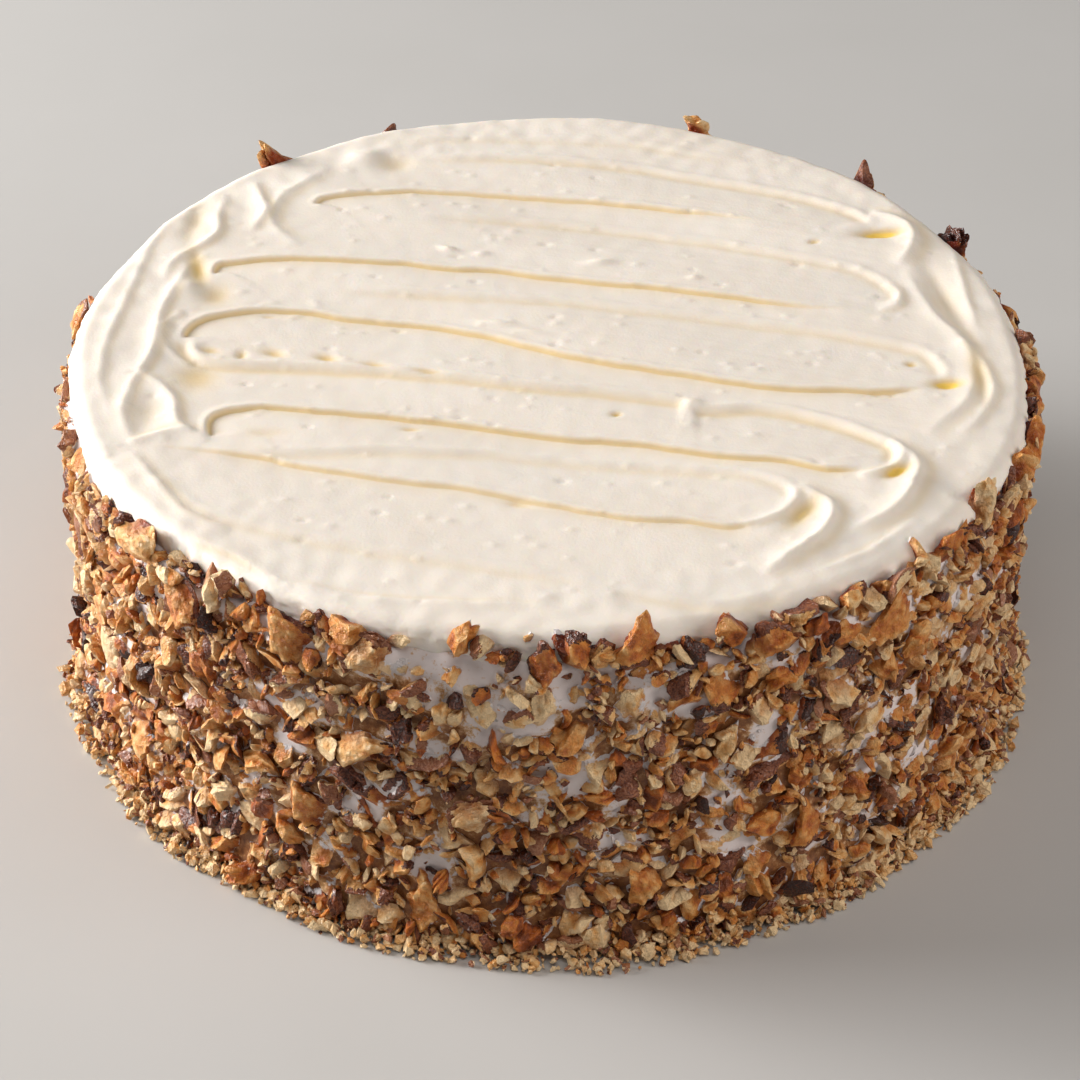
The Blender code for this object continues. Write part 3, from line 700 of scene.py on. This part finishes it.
def kernelForm(rng, sphere, style, target):
    # A piece of kernel one unit long: a rounded lump broken along flat faces, with the
    # skin side left whole and folded, then bent like the lobe that it came from.
    directions, triangles = sphere
    skinSide = rng.normal(size=3) * (0.5, 0.7, 1.0)
    skinSide /= np.linalg.norm(skinSide)
    seed = rng.uniform(0, 50)
    sharp = style["sharp"]
    total = np.ones(len(directions))
    for _ in range(style["breaks"]):
        n = rng.normal(size=3)
        n /= np.linalg.norm(n)
        if n @ skinSide > 0.35:
            n = n - 2 * (n @ skinSide) * skinSide
        reach = rng.uniform(*style["reach"])
        facing = np.maximum(directions @ n, 1e-3)
        total = total + (facing / reach) ** sharp
    broken = total ** (-1.0 / sharp)
    skin = smoothStep(broken, 0.86, 0.97) * smoothStep(directions @ skinSide, -0.35, 0.1)
    radius = broken
    for _ in range(style["scoops"]):
        n = rng.normal(size=3)
        n /= np.linalg.norm(n)
        radius = radius * (1 - rng.uniform(0.15, 0.35) * np.exp(-((1 - directions @ n) / 0.16)))
    fold = np.sin(directions @ (rng.normal(size=3) * style["folds"]) * 3.0
                  + 2.0 * noiseAt(directions, 0.6, seed))
    radius = radius * (1 + style["fold"] * fold * (0.35 + skin))
    radius = radius * (1 + style["rough"] * noiseAt(directions, 0.5, seed + 3)
                       + 0.5 * style["rough"] * noiseAt(directions, 0.2, seed + 5))
    points = directions * radius[:, None]
    points -= points.mean(0)
    size = points.max(0) - points.min(0)
    wanted = np.array([1.0, rng.uniform(*style["width"]), rng.uniform(*style["depth"])])
    points = points / size * wanted
    points[:, 2] += rng.uniform(*style["bend"]) * (points[:, 0] ** 2 - 0.08)
    points[:, 2] += rng.uniform(*style["cup"]) * (points[:, 1] ** 2 - 0.04)
    points[:, 1] += rng.uniform(-0.3, 0.3) * points[:, 0] ** 2
    thinPoints, thinTriangles = decimated(points, triangles, target)
    nearest = np.array([np.argmin(((points - p) ** 2).sum(1)) for p in thinPoints])
    thinTriangles = facingOut(thinPoints, thinTriangles)
    return {"points": thinPoints, "triangles": thinTriangles, "skin": skin[nearest],
            "edge": edgeShare(thinPoints, thinTriangles), "width": wanted[1], "depth": wanted[2]}


kernelStyles = {
    "quarter": {"breaks": 5, "reach": (0.45, 0.75), "sharp": 30, "scoops": 3, "folds": 2.2, "fold": 0.15,
                "rough": 0.16, "width": (0.62, 0.8), "depth": (0.45, 0.6), "bend": (-0.5, 0.5),
                "cup": (-0.8, 0.8)},
    "chunk": {"breaks": 8, "reach": (0.34, 0.68), "sharp": 34, "scoops": 4, "folds": 1.8, "fold": 0.09,
              "rough": 0.13, "width": (0.6, 0.9), "depth": (0.42, 0.7), "bend": (-0.3, 0.3),
              "cup": (-0.4, 0.4)},
    "sliver": {"breaks": 8, "reach": (0.34, 0.7), "sharp": 36, "scoops": 3, "folds": 1.6, "fold": 0.08,
               "rough": 0.12, "width": (0.3, 0.5), "depth": (0.25, 0.42), "bend": (-0.6, 0.6),
               "cup": (-0.4, 0.4)},
    "flake": {"breaks": 8, "reach": (0.36, 0.7), "sharp": 40, "scoops": 3, "folds": 1.5, "fold": 0.07,
              "rough": 0.12, "width": (0.6, 0.95), "depth": (0.2, 0.34), "bend": (-0.8, 0.8),
              "cup": (-0.8, 0.8)},
}


def formSet(seed, levels, target, mix):
    rng = np.random.default_rng(seed)
    sphere = unitSphere(levels)
    return [kernelForm(rng, sphere, kernelStyles[name], target) for name in mix]


quarterForms = formSet(21, 5, 1300, ["quarter"] * 7)
largeForms = formSet(22, 4, 290, ["quarter"] * 4 + ["chunk"] * 6 + ["sliver"] * 2 + ["flake"] * 3)
middleForms = formSet(23, 4, 124, ["chunk"] * 10 + ["sliver"] * 4 + ["flake"] * 4)
smallForms = formSet(24, 3, 80, ["chunk"] * 10 + ["sliver"] * 5 + ["flake"] * 5)
bitForms = formSet(25, 3, 36, ["chunk"] * 8 + ["sliver"] * 4 + ["flake"] * 4)
crumbForms = formSet(26, 2, 18, ["chunk"] * 8 + ["sliver"] * 2)
print("walnut forms: done")


# Laying the nuts on the wall.

# A map of the wall keeps the outermost radius at every bearing and height.
cell = 0.5
mapRadius = 119.0
mapHeight = 96
mapColumns = int(2 * math.pi * mapRadius / cell)
mapRows = int(mapHeight / cell)


# How a piece is laid: the turns it may have, how much of what lies under it (in percent)
# it stands above, and how much of its depth it stands out by.
layLook = {"roll": 1.3, "restOn": 55, "standOut": (0.02, 0.3), "bareShare": 0.96, "lengths": (1.3, 1.8),
           "leastRise": 0.42, "limitSpread": 0.6}


def footFlare(z):
    # the coat spreads outwards where it meets the board
    return 3.0 * np.exp(-((z / 10.0) ** 2))


def icingOutside(angle, z):
    # radius of bare icing at a bearing and height: the wall below, the rounded lip above
    edge = rimAt(angle)
    drop = np.clip(slabTop - z, 0.0, topIcing["lipDrop"])
    turn = np.arccos(1 - drop / topIcing["lipDrop"])
    lip = edge - topIcing["lipReach"] * (1 - np.sin(turn))
    tuck = np.clip((slabTop - topIcing["lipDrop"] - z) / topIcing["tuck"], 0.0, 1.0)
    lip = np.where(z > slabTop - topIcing["lipDrop"] - topIcing["tuck"],
                   lip - topIcing["tuckIn"] * tuck ** 2, 0.0)
    wall = np.where(z < slabBottom + 2.0, wallRadius + 0.6 + footFlare(z), 0.0)
    return np.maximum(np.maximum(wall, lip), bodyRadius - 6)


def mapGrid():
    angle = (np.arange(mapColumns) + 0.5) * 2 * math.pi / mapColumns
    z = (np.arange(mapRows) + 0.5) * cell
    return np.meshgrid(angle, z, indexing="ij")


surface = icingOutside(*mapGrid())
bareSurface = surface.copy()


def window(angle, z, reach):
    half = int(math.ceil(reach / cell))
    column = int(angle / (2 * math.pi) * mapColumns)
    row = int(z / cell)
    columns = np.arange(column - half, column + half + 1) % mapColumns
    rows = np.arange(max(0, row - half), min(mapRows, row + half + 1))
    along = (np.arange(-half, half + 1)) * cell
    up = (rows - row) * cell
    return columns, rows, along, up


def footprint(angle, z, length, width, roll):
    columns, rows, along, up = window(angle, z, 0.55 * length)
    u, v = np.meshgrid(along, up, indexing="ij")
    p = (u * math.sin(roll) + v * math.cos(roll)) / (0.5 * length)
    q = (u * math.cos(roll) - v * math.sin(roll)) / (0.5 * width)
    return columns, rows, p * p + q * q


def layOne(rng, angle, z, form, length, tilt, outLimit):
    # finds how far out a piece rests on what is already there, and adds it to the map
    roll = rng.uniform(-layLook["roll"], layLook["roll"])
    width, depth = form["width"] * length, form["depth"] * length
    columns, rows, rho = footprint(angle, z, length, width, roll)
    if not len(rows):
        return None
    under = rho < 0.8
    patch = surface[np.ix_(columns, rows)]
    if not under.any():
        return None
    level = np.percentile(patch[under], layLook["restOn"])
    middle = level + depth * rng.uniform(*layLook["standOut"])
    if middle + depth / 2 > outLimit + footFlare(z):
        return None
    dome = middle + depth / 2 * np.sqrt(np.clip(1 - rho, 0, 1))
    surface[np.ix_(columns, rows)] = np.where(rho < 1, np.maximum(patch, dome), patch)
    out = np.array([math.sin(angle), -math.cos(angle), 0.0])
    side = np.array([math.cos(angle), math.sin(angle), 0.0])
    up = np.array([0.0, 0.0, 1.0])
    longWay = side * math.sin(roll) + up * math.cos(roll)
    across = np.cross(out, longWay)
    turn = np.stack([longWay, across, out], 1)
    if rng.random() < 0.5:
        turn = turn * (1, -1, -1)
    tiltBy = Matrix.Rotation(rng.normal() * tilt, 3, "X") @ Matrix.Rotation(rng.normal() * tilt, 3, "Y")
    turn = turn @ np.array(tiltBy)
    return {"form": form, "turn": turn, "size": length, "place": out * middle + up * z}


def bareHere(angle, z):
    # how bare of nuts a place was left, from 0 to 1
    deg = math.degrees(angle)
    deg = deg - 360 if deg > 180 else deg
    share = 0.0
    for middle, height, halfWide, halfHigh in barePatches:
        share += math.exp(-((deg - middle) / halfWide) ** 2 - ((z - height) / halfHigh) ** 2)
    return min(1.0, share)


# Places where the nuts missed and the icing shows: bearing, height, half sizes in
# degrees and millimetres.
barePatches = [
    (-8, 80, 4.2, 9), (-14, 85, 6, 6), (-20, 80, 3, 5), (11, 77, 4, 6), (2, 79, 3, 3), (-6, 66, 2, 6),
    (22, 28, 3.2, 6), (-33, 60, 3, 4), (-28, 36, 2, 5), (8, 44, 2, 5), (39, 52, 3, 3), (-21, 44, 2, 4),
    (130, 60, 4, 6), (-120, 70, 4, 6), (175, 40, 3, 7), (-150, 30, 3, 5), (95, 45, 3, 5), (-80, 58, 3, 5),
]


def nutTop(angle):
    # Ragged upper edge of the nuts: close under the lip in front and on the right, lower
    # behind and on the left, where the icing hangs over them.
    deg = math.degrees(math.atan2(math.sin(angle), math.cos(angle)))
    behind = min(1.0, max(0.0, math.cos(angle + math.radians(128)) * 1.8))
    return slabTop - 4.4 + 1.4 * math.exp(-((deg / 45.0) ** 2)) - 6.5 * behind \
        - 4.5 * math.exp(-(((deg - 138.0) / 34.0) ** 2)) \
        + 1.0 * math.sin(3 * angle + 0.5) + 0.9 * math.sin(8 * angle + 2.2) + 0.8 * math.sin(17 * angle)


def layMany(kind):
    # each piece goes to the lowest of a few places; a kind is done once enough pieces lie
    rng = np.random.default_rng(kind["seed"])
    shortest, longest = kind["sizes"]
    laid = []
    attempts = 0
    while len(laid) < kind["count"] and attempts < kind["count"] * 4:
        attempts += 1
        best = None
        for _ in range(kind["tries"]):
            angle = rng.uniform(0, 2 * math.pi)
            z = rng.uniform(kind["lowest"], nutTop(angle) + kind["rimOver"])
            if rng.random() < layLook["bareShare"] * bareHere(angle, z):
                continue
            column = int(angle / (2 * math.pi) * mapColumns) % mapColumns
            row = min(mapRows - 1, int(z / cell))
            rise = surface[column, row] - bareSurface[column, row]
            if best is None or rise < best[0]:
                best = (rise, angle, z)
        if best is None:
            continue
        length = shortest + (longest - shortest) * rng.beta(*layLook["lengths"])
        z = max(best[2], layLook["leastRise"] * length)
        form = kind["forms"][rng.integers(len(kind["forms"]))]
        outLimit = outside + kind["past"] + rng.uniform(-layLook["limitSpread"], layLook["limitSpread"])
        piece = layOne(rng, best[1], z, form, length, kind["tilt"], outLimit)
        if piece:
            laid.append(piece)
    return laid


def joinKernels(name, laid, seed, toneMean, toneSpread, material, slot, replaced, sharpAngle):
    rng = np.random.default_rng(seed)
    verts, faces, marks, places, creviceShades = [], [], [], [], []
    count = 0
    for item in laid:
        form = item["form"]
        points = form["points"] * item["size"]
        world = points @ item["turn"].T + item["place"]
        tone = np.clip(rng.normal(toneMean, toneSpread), 0.0, 1.0)
        tone = item.get("tone") or tone
        world[:, 2] += max(0.0, 0.05 - world[:, 2].min())
        angle = np.mod(np.arctan2(world[:, 0], -world[:, 1]), 2 * math.pi)
        above = np.hypot(world[:, 0], world[:, 1]) - sampled(icingMap, angle, world[:, 2])
        mark = np.ones((len(points), 4), np.float32)
        mark[:, 0] = form["skin"] * (1.0 if rng.random() < item.get("skinChance", 0.45) else 0.0)
        mark[:, 1] = tone
        mark[:, 2] = np.clip(above, -4.0, 6.0)
        mark[:, 3] = form["edge"]
        # painted crevice shade: how deep the point lies below the smoothed outer face of the nuts, full at
        # 3.2 mm
        creviceShade = (sampled(outerMap, angle, world[:, 2]) - np.hypot(world[:, 0], world[:, 1])) / 3.2
        creviceShades.append(np.clip(creviceShade, 0.0, 1.0))
        verts.append(world)
        faces.append(form["triangles"] + count)
        marks.append(mark)
        places.append(points + rng.uniform(0, 400, 3))
        count += len(points)
    mesh = meshFrom(name, np.concatenate(verts) * mm, np.concatenate(faces))
    markPoints(mesh, "kernel", "FLOAT_COLOR", np.concatenate(marks))
    markPoints(mesh, "kernelPlace", "FLOAT_VECTOR", np.concatenate(places))
    markPoints(mesh, "creviceShade", "FLOAT", np.concatenate(creviceShades))
    return addPiece(name, mesh, material, replaced, sharpAngle)


# How the large pieces look, by the number of their solid: tone, and how surely the skin
# is still on.
pieceLooks = {
    1: (0.5, 1.0), 2: (0.35, 0.0), 3: (0.35, 0.0), 4: (0.5, 1.0), 5: (0.25, 1.0), 6: (0.75, 1.0),
    7: (0.6, 1.0), 8: (0.6, 1.0), 9: (0.55, 0.0), 10: (0.15, 0.0), 11: (0.6, 1.0), 12: (0.85, 1.0),
    13: (0.5, 1.0), 14: (0.35, 0.0), 15: (0.4, 1.0), 16: (0.55, 1.0), 17: (0.3, 0.0),
}
otherPieces = (None, 0.7)   # no tone of their own

# Pieces that lie flatter than the others of their form, and by how much.
flatPieces = {2: 0.55}


def largeWalnuts():
    # each large piece lies in the space of its own solid, turned the way that solid lies
    laid = []
    names = sorted(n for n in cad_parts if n.startswith("walnut_piece_"))
    for k, name in enumerate(names):
        points = np.array([v.co[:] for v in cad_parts[name].data.vertices]) / mm
        middle = (points.max(0) + points.min(0)) / 2
        _, ways = np.linalg.eigh(np.cov((points - points.mean(0)).T))
        longWay, thin = ways[:, 2], ways[:, 0]
        out = middle * (1, 1, 0)
        if thin @ out < 0:
            thin = -thin
        across = np.cross(thin, longWay)
        spans = [np.ptp(points @ way) for way in (longWay, across, thin)]
        form = dict(quarterForms[k % len(quarterForms)])
        size = np.ptp(form["points"], axis=0)
        form["points"] = form["points"] / size * (1.0, spans[1] / spans[0] * 1.04, spans[2] / spans[0] * 1.15)
        form["points"][:, 1] *= flatPieces.get(k + 1, 1.0)
        form["skin"] = np.clip(form["skin"] * 1.3, 0, 1)
        tone, skinChance = pieceLooks.get(k + 1, otherPieces)
        laid.append({"form": form, "turn": np.stack([longWay, across, thin], 1), "size": spans[0] * 1.04,
                     "place": middle, "tone": tone, "skinChance": skinChance})
        angle = math.atan2(middle[0], -middle[1]) % (2 * math.pi)
        out = out / np.linalg.norm(out)
        roll = math.atan2(longWay @ np.array([math.cos(angle), math.sin(angle), 0.0]), longWay[2])
        columns, rows, rho = footprint(angle, middle[2], spans[0], spans[1], roll)
        patch = surface[np.ix_(columns, rows)]
        dome = np.hypot(middle[0], middle[1]) + spans[2] / 2 * np.sqrt(np.clip(1 - rho, 0, 1))
        surface[np.ix_(columns, rows)] = np.where(rho < 1, np.maximum(patch, dome), patch)
    return laid, names


quarters, quarterNames = largeWalnuts()

# The chopped nuts by size. past is how much further out than outside a kind may reach, and
# rimOver how far over the upper edge of the nuts it may lie; tries places are looked at for
# each piece. paintSeed and tone are for the colours.
outside = bodyRadius + 6.6
choppedKinds = {
    "WalnutLarge": {"forms": largeForms, "seed": 41, "count": 440, "sizes": (9.5, 15.5), "tilt": 0.42,
                    "past": 1.0, "lowest": 5, "tries": 5, "rimOver": 0.0,
                    "paintSeed": 51, "tone": (0.45, 0.3), "replaced": ["walnut_coat"]},
    "WalnutMiddle": {"forms": middleForms, "seed": 42, "count": 1400, "sizes": (6.6, 10.6), "tilt": 0.55,
                     "past": 0.8, "lowest": 2, "tries": 6, "rimOver": 0.8,
                     "paintSeed": 52, "tone": (0.45, 0.3), "replaced": []},
    "WalnutSmall": {"forms": smallForms, "seed": 43, "count": 1800, "sizes": (4.2, 7.0), "tilt": 0.75,
                    "past": 0.8, "lowest": 2, "tries": 6, "rimOver": 1.2,
                    "paintSeed": 53, "tone": (0.45, 0.3), "replaced": []},
    "WalnutBits": {"forms": bitForms, "seed": 44, "count": 2500, "sizes": (2.0, 4.2), "tilt": 1.0,
                   "past": 0.6, "lowest": 1, "tries": 5, "rimOver": 1.8,
                   "paintSeed": 54, "tone": (0.5, 0.28), "replaced": []},
}
chopped = {name: layMany(kind) for name, kind in choppedKinds.items()}
covered = ((surface - bareSurface) > 0.3)[:, : int(80 / cell)].mean()
print("nuts cover %.0f percent of the wall, outermost %.1f mm" % (100 * covered, surface.max()))


# Icing on the side.

sideIcing = {
    "columns": 620,
    "rows": 74,
    "top": slabBottom + 4.5,
    "spread": 2.1,          # how softly the icing follows the nuts
    "sink": 1.7,            # how far it stays below them where they lie close
    "smearLift": 1.3,       # and how much higher it comes in smears
    "ripple": 0.35,
    "levels": (-0.8, 3.6),  # lowest and highest over the wall
}


def softened(field, spread):
    # the map blurred, wrapped round the cake and held at its upper and lower edges
    reach = int(3 * spread)
    weights = np.exp(-0.5 * (np.arange(-reach, reach + 1) / spread) ** 2)
    weights /= weights.sum()
    padded = np.pad(field, ((reach, reach), (0, 0)), mode="wrap")
    wide = sum(w * padded[k:k + len(field)] for k, w in enumerate(weights))
    padded = np.pad(wide, ((0, 0), (reach, reach)), mode="edge")
    return sum(w * padded[:, k:k + field.shape[1]] for k, w in enumerate(weights))


def sampled(field, angle, z):
    column = np.mod(angle / (2 * math.pi) * mapColumns - 0.5, mapColumns)
    row = np.clip(np.asarray(z) / cell - 0.5, 0, mapRows - 1.001)
    c0, r0 = np.floor(column).astype(int), np.floor(row).astype(int)
    u, v = column - c0, row - r0
    c0 = c0 % mapColumns
    c1 = (c0 + 1) % mapColumns
    return (field[c0, r0] * (1 - u) * (1 - v) + field[c1, r0] * u * (1 - v)
            + field[c0, r0 + 1] * (1 - u) * v + field[c1, r0 + 1] * u * v)


def sideLevel():
    # The nuts were pressed in, so the icing rose between them: nearly flush in smears and
    # bare patches, far below the nuts elsewhere.
    a, h = mapGrid()
    circle = np.stack([np.sin(a) * wallRadius, -np.cos(a) * wallRadius, h], -1).reshape(-1, 3)
    broad = noiseAt(circle * (1, 1, 1.5), 13.0, 11).reshape(a.shape)
    small = noiseAt(circle, 2.6, 12).reshape(a.shape)
    deg = np.degrees(np.where(a > math.pi, a - 2 * math.pi, a))
    bare = np.zeros(a.shape)
    for middle, height, halfWide, halfHigh in barePatches:
        bare += np.exp(-((deg - middle) / halfWide) ** 2 - ((h - height) / halfHigh) ** 2)
    smear = np.clip(bare + smoothStep(broad, 0.05, 0.45) * smoothStep(h, 6.0, 20.0), 0.0, 1.0)
    level = softened(surface, sideIcing["spread"] / cell) - sideIcing["sink"]
    level = level + sideIcing["smearLift"] * smear + sideIcing["ripple"] * small
    level = np.clip(level, *(wallRadius + over + footFlare(h) for over in sideIcing["levels"]))
    tucked = smoothStep(h, slabTop - 8.0, slabTop - 4.5)
    level = level - (level - wallRadius + 1.5) * tucked
    # the second value is where the side stays white; elsewhere the material paints nut meal and painted shade
    return level, np.maximum(smear, smoothStep(h, slabTop - 16.0, slabTop - 10.0))


def makeSideIcing(level):
    columns, rows = sideIcing["columns"], sideIcing["rows"]
    angle = np.arange(columns) * 2 * math.pi / columns
    heights = np.linspace(0.0, sideIcing["top"], rows)
    a, z = np.meshgrid(angle, heights)
    verts = around(sampled(level, a, z), a, 0.0)
    verts[..., 2] = z
    verts = verts.reshape(-1, 3)
    triangles = []
    for row in range(rows - 1):
        low = row * columns + np.arange(columns)
        high = low + columns
        triangles.append(np.column_stack([low, np.roll(low, -1), np.roll(high, -1)]))
        triangles.append(np.column_stack([low, np.roll(high, -1), high]))
    count = len(verts)
    verts = np.concatenate([verts, [[0, 0, 0], [0, 0, sideIcing["top"]]]]) * mm
    first = np.arange(columns)
    last = first + (rows - 1) * columns
    triangles.append(np.column_stack([np.roll(first, -1), first, np.full(columns, count)]))
    triangles.append(np.column_stack([last, np.roll(last, -1), np.full(columns, count + 1)]))
    mesh = meshFrom("SideIcing", verts, facingOut(verts, np.concatenate(triangles)))
    markPoints(mesh, "bareOfDustAndShade", "FLOAT", np.concatenate([sampled(bareOfDustAndShade, a, z).ravel(), [0.0, 0.0]]))
    addPiece("SideIcing", mesh, smearedIcing, ["cake_body"])


level, bareOfDustAndShade = sideLevel()
outerMap = softened(surface, 1.2 / cell)
makeSideIcing(level)
icingMap = np.maximum(level, np.where(bareSurface > wallRadius + 4.0, bareSurface, 0.0))
joinKernels("WalnutQuarters", quarters, 31, 0.45, 0.22, brokenWalnut, "walnut_kernel", quarterNames, 45)
for name, kind in choppedKinds.items():
    joinKernels(name, chopped[name], kind["paintSeed"], *kind["tone"], choppedWalnut, "chopped_walnut",
                kind["replaced"], 32)


# Crumbs at the foot.

skirt = {"count": 5200, "from": bodyRadius + 5.0, "to": bodyRadius + 11.4, "heap": 5.5, "sizes": (1.0, 4.8)}


def layCrumbs():
    # crumbs and meal that fell to the foot, thinning out from the wall
    rng = np.random.default_rng(9)
    laid = []
    for _ in range(skirt["count"]):
        angle = rng.uniform(0, 2 * math.pi)
        share = rng.beta(1.2, 1.7)
        reach = skirt["to"] + 1.4 * math.cos(angle) + 1.0 * math.sin(5 * angle + 1)
        reach += 0.7 * math.sin(13 * angle)
        radius = skirt["from"] + (reach - skirt["from"]) * share
        length = skirt["sizes"][0] + (skirt["sizes"][1] - skirt["sizes"][0]) * rng.beta(1.1, 2.6)
        z = 0.3 * length + rng.random() * skirt["heap"] * max(0.0, 1 - share) ** 1.3
        turn, _ = np.linalg.qr(rng.normal(size=(3, 3)))
        if np.linalg.det(turn) < 0:
            turn[:, 0] *= -1
        if z < 0.5 * length:
            z = 0.42 * length
        place = np.array([radius * math.sin(angle), -radius * math.cos(angle), z])
        laid.append({"form": crumbForms[rng.integers(len(crumbForms))], "turn": turn, "size": length,
                     "place": place, "skinChance": 0.3})
    return laid


joinKernels("WalnutCrumbs", layCrumbs(), 55, 0.28, 0.22, walnutMeal, "chopped_walnut", [], 38)


# Floor, light and camera.

stageLook = {"floor": "#bfbdb9", "floorPale": "#c5c3c0", "world": (0.92, 0.95, 1.0), "worldStrength": 0.11,
             "halfSide": 4, "mottle": 14.0}


def makeFloor():
    material, tree = newMaterial("pale painted floor")
    place = addNode(tree, "TexCoord")
    mottle = addNode(tree, "TexNoise", {"Scale": stageLook["mottle"], "Detail": 4.0},
                     {"Vector": place.outputs["Object"]})
    color = addNode(tree, "Mix", {"data_type": "RGBA", 6: linear(stageLook["floor"]),
                                  7: linear(stageLook["floorPale"])}, {0: mottle.outputs["Fac"]})
    shader = addNode(tree, "BsdfPrincipled", {"Roughness": 0.7}, {"Base Color": color.outputs[2]})
    addNode(tree, "OutputMaterial", {}, {"Surface": shader.outputs[0]})
    mesh = bpy.data.meshes.new("Floor")
    reach = stageLook["halfSide"]
    corners = [(-reach, -reach, 0), (reach, -reach, 0), (reach, reach, 0), (-reach, reach, 0)]
    mesh.from_pydata(corners, [], [(0, 1, 2, 3)])
    mesh.materials.append(material)
    floor = bpy.data.objects.new("Floor", mesh)
    bpy.context.scene.collection.objects.link(floor)


# Soft round lamps, in metres and watts, all turned to the middle of the cake.
lights = {
    "LowKey": {"place": (-2.0, 0.26, 0.9), "size": 1.1, "power": 49.5, "color": (1.0, 0.985, 0.985)},
    "LowLeft": {"place": (-1.5, 0.56, 0.2), "size": 0.9, "power": 46, "color": (1.0, 0.98, 0.95)},
    "Overhead": {"place": (0.1, -0.5, 1.5), "size": 0.9, "power": 5.6, "color": (1.0, 0.96, 0.92)},
    "RightFill": {"place": (1.45, -0.45, 0.6), "size": 1.0, "power": 11.5, "color": (1.0, 0.94, 0.90)},
}
lightTarget = Vector((0, 0, 0.05))


def addLight(name, look):
    data = bpy.data.lights.new(name, "AREA")
    data.shape = "DISK"
    data.size = look["size"]
    data.energy = look["power"]
    data.color = look["color"]
    light = bpy.data.objects.new(name, data)
    light.location = look["place"]
    light.rotation_euler = (lightTarget - Vector(look["place"])).to_track_quat("-Z", "Y").to_euler()
    bpy.context.scene.collection.objects.link(light)


# In metres and degrees. up and right tip the view off the target, as parts of its length.
cameraLook = {"place": (-0.0018, -0.5841, 0.4703), "target": (-0.0018, -0.003, 0), "roll": 0.70,
              "up": 0.03374, "right": 0.00036, "lens": 93.26, "sensor": 36, "nearest": 0.01}


def makeCamera():
    place = Vector(cameraLook["place"])
    forward = (Vector(cameraLook["target"]) - place).normalized()
    right = forward.cross(Vector((0, 0, 1))).normalized()
    roll = math.radians(cameraLook["roll"])
    up = right.cross(forward)
    right, up = right * math.cos(roll) + up * math.sin(roll), up * math.cos(roll) - right * math.sin(roll)
    forward = (forward + up * cameraLook["up"] + right * cameraLook["right"]).normalized()
    right = (right - forward * right.dot(forward)).normalized()
    up = right.cross(forward)
    data = bpy.data.cameras.new("Camera")
    data.lens = cameraLook["lens"]
    data.sensor_width = cameraLook["sensor"]
    data.clip_start = cameraLook["nearest"]
    camera = bpy.data.objects.new("Camera", data)
    turn = Matrix((right, up, -forward)).transposed()
    camera.matrix_world = Matrix.Translation(place) @ turn.to_4x4()
    bpy.context.scene.collection.objects.link(camera)
    bpy.context.scene.camera = camera


makeFloor()
for name, look in lights.items():
    addLight(name, look)
makeCamera()

world = bpy.data.worlds.new("Studio")
world.use_nodes = True
world.node_tree.nodes["Background"].inputs["Color"].default_value = (*stageLook["world"], 1.0)
world.node_tree.nodes["Background"].inputs["Strength"].default_value = stageLook["worldStrength"]
bpy.context.scene.world = world
bpy.context.scene.view_settings.view_transform = "Standard"
bpy.context.scene.view_settings.look = "None"

print("scene: done")
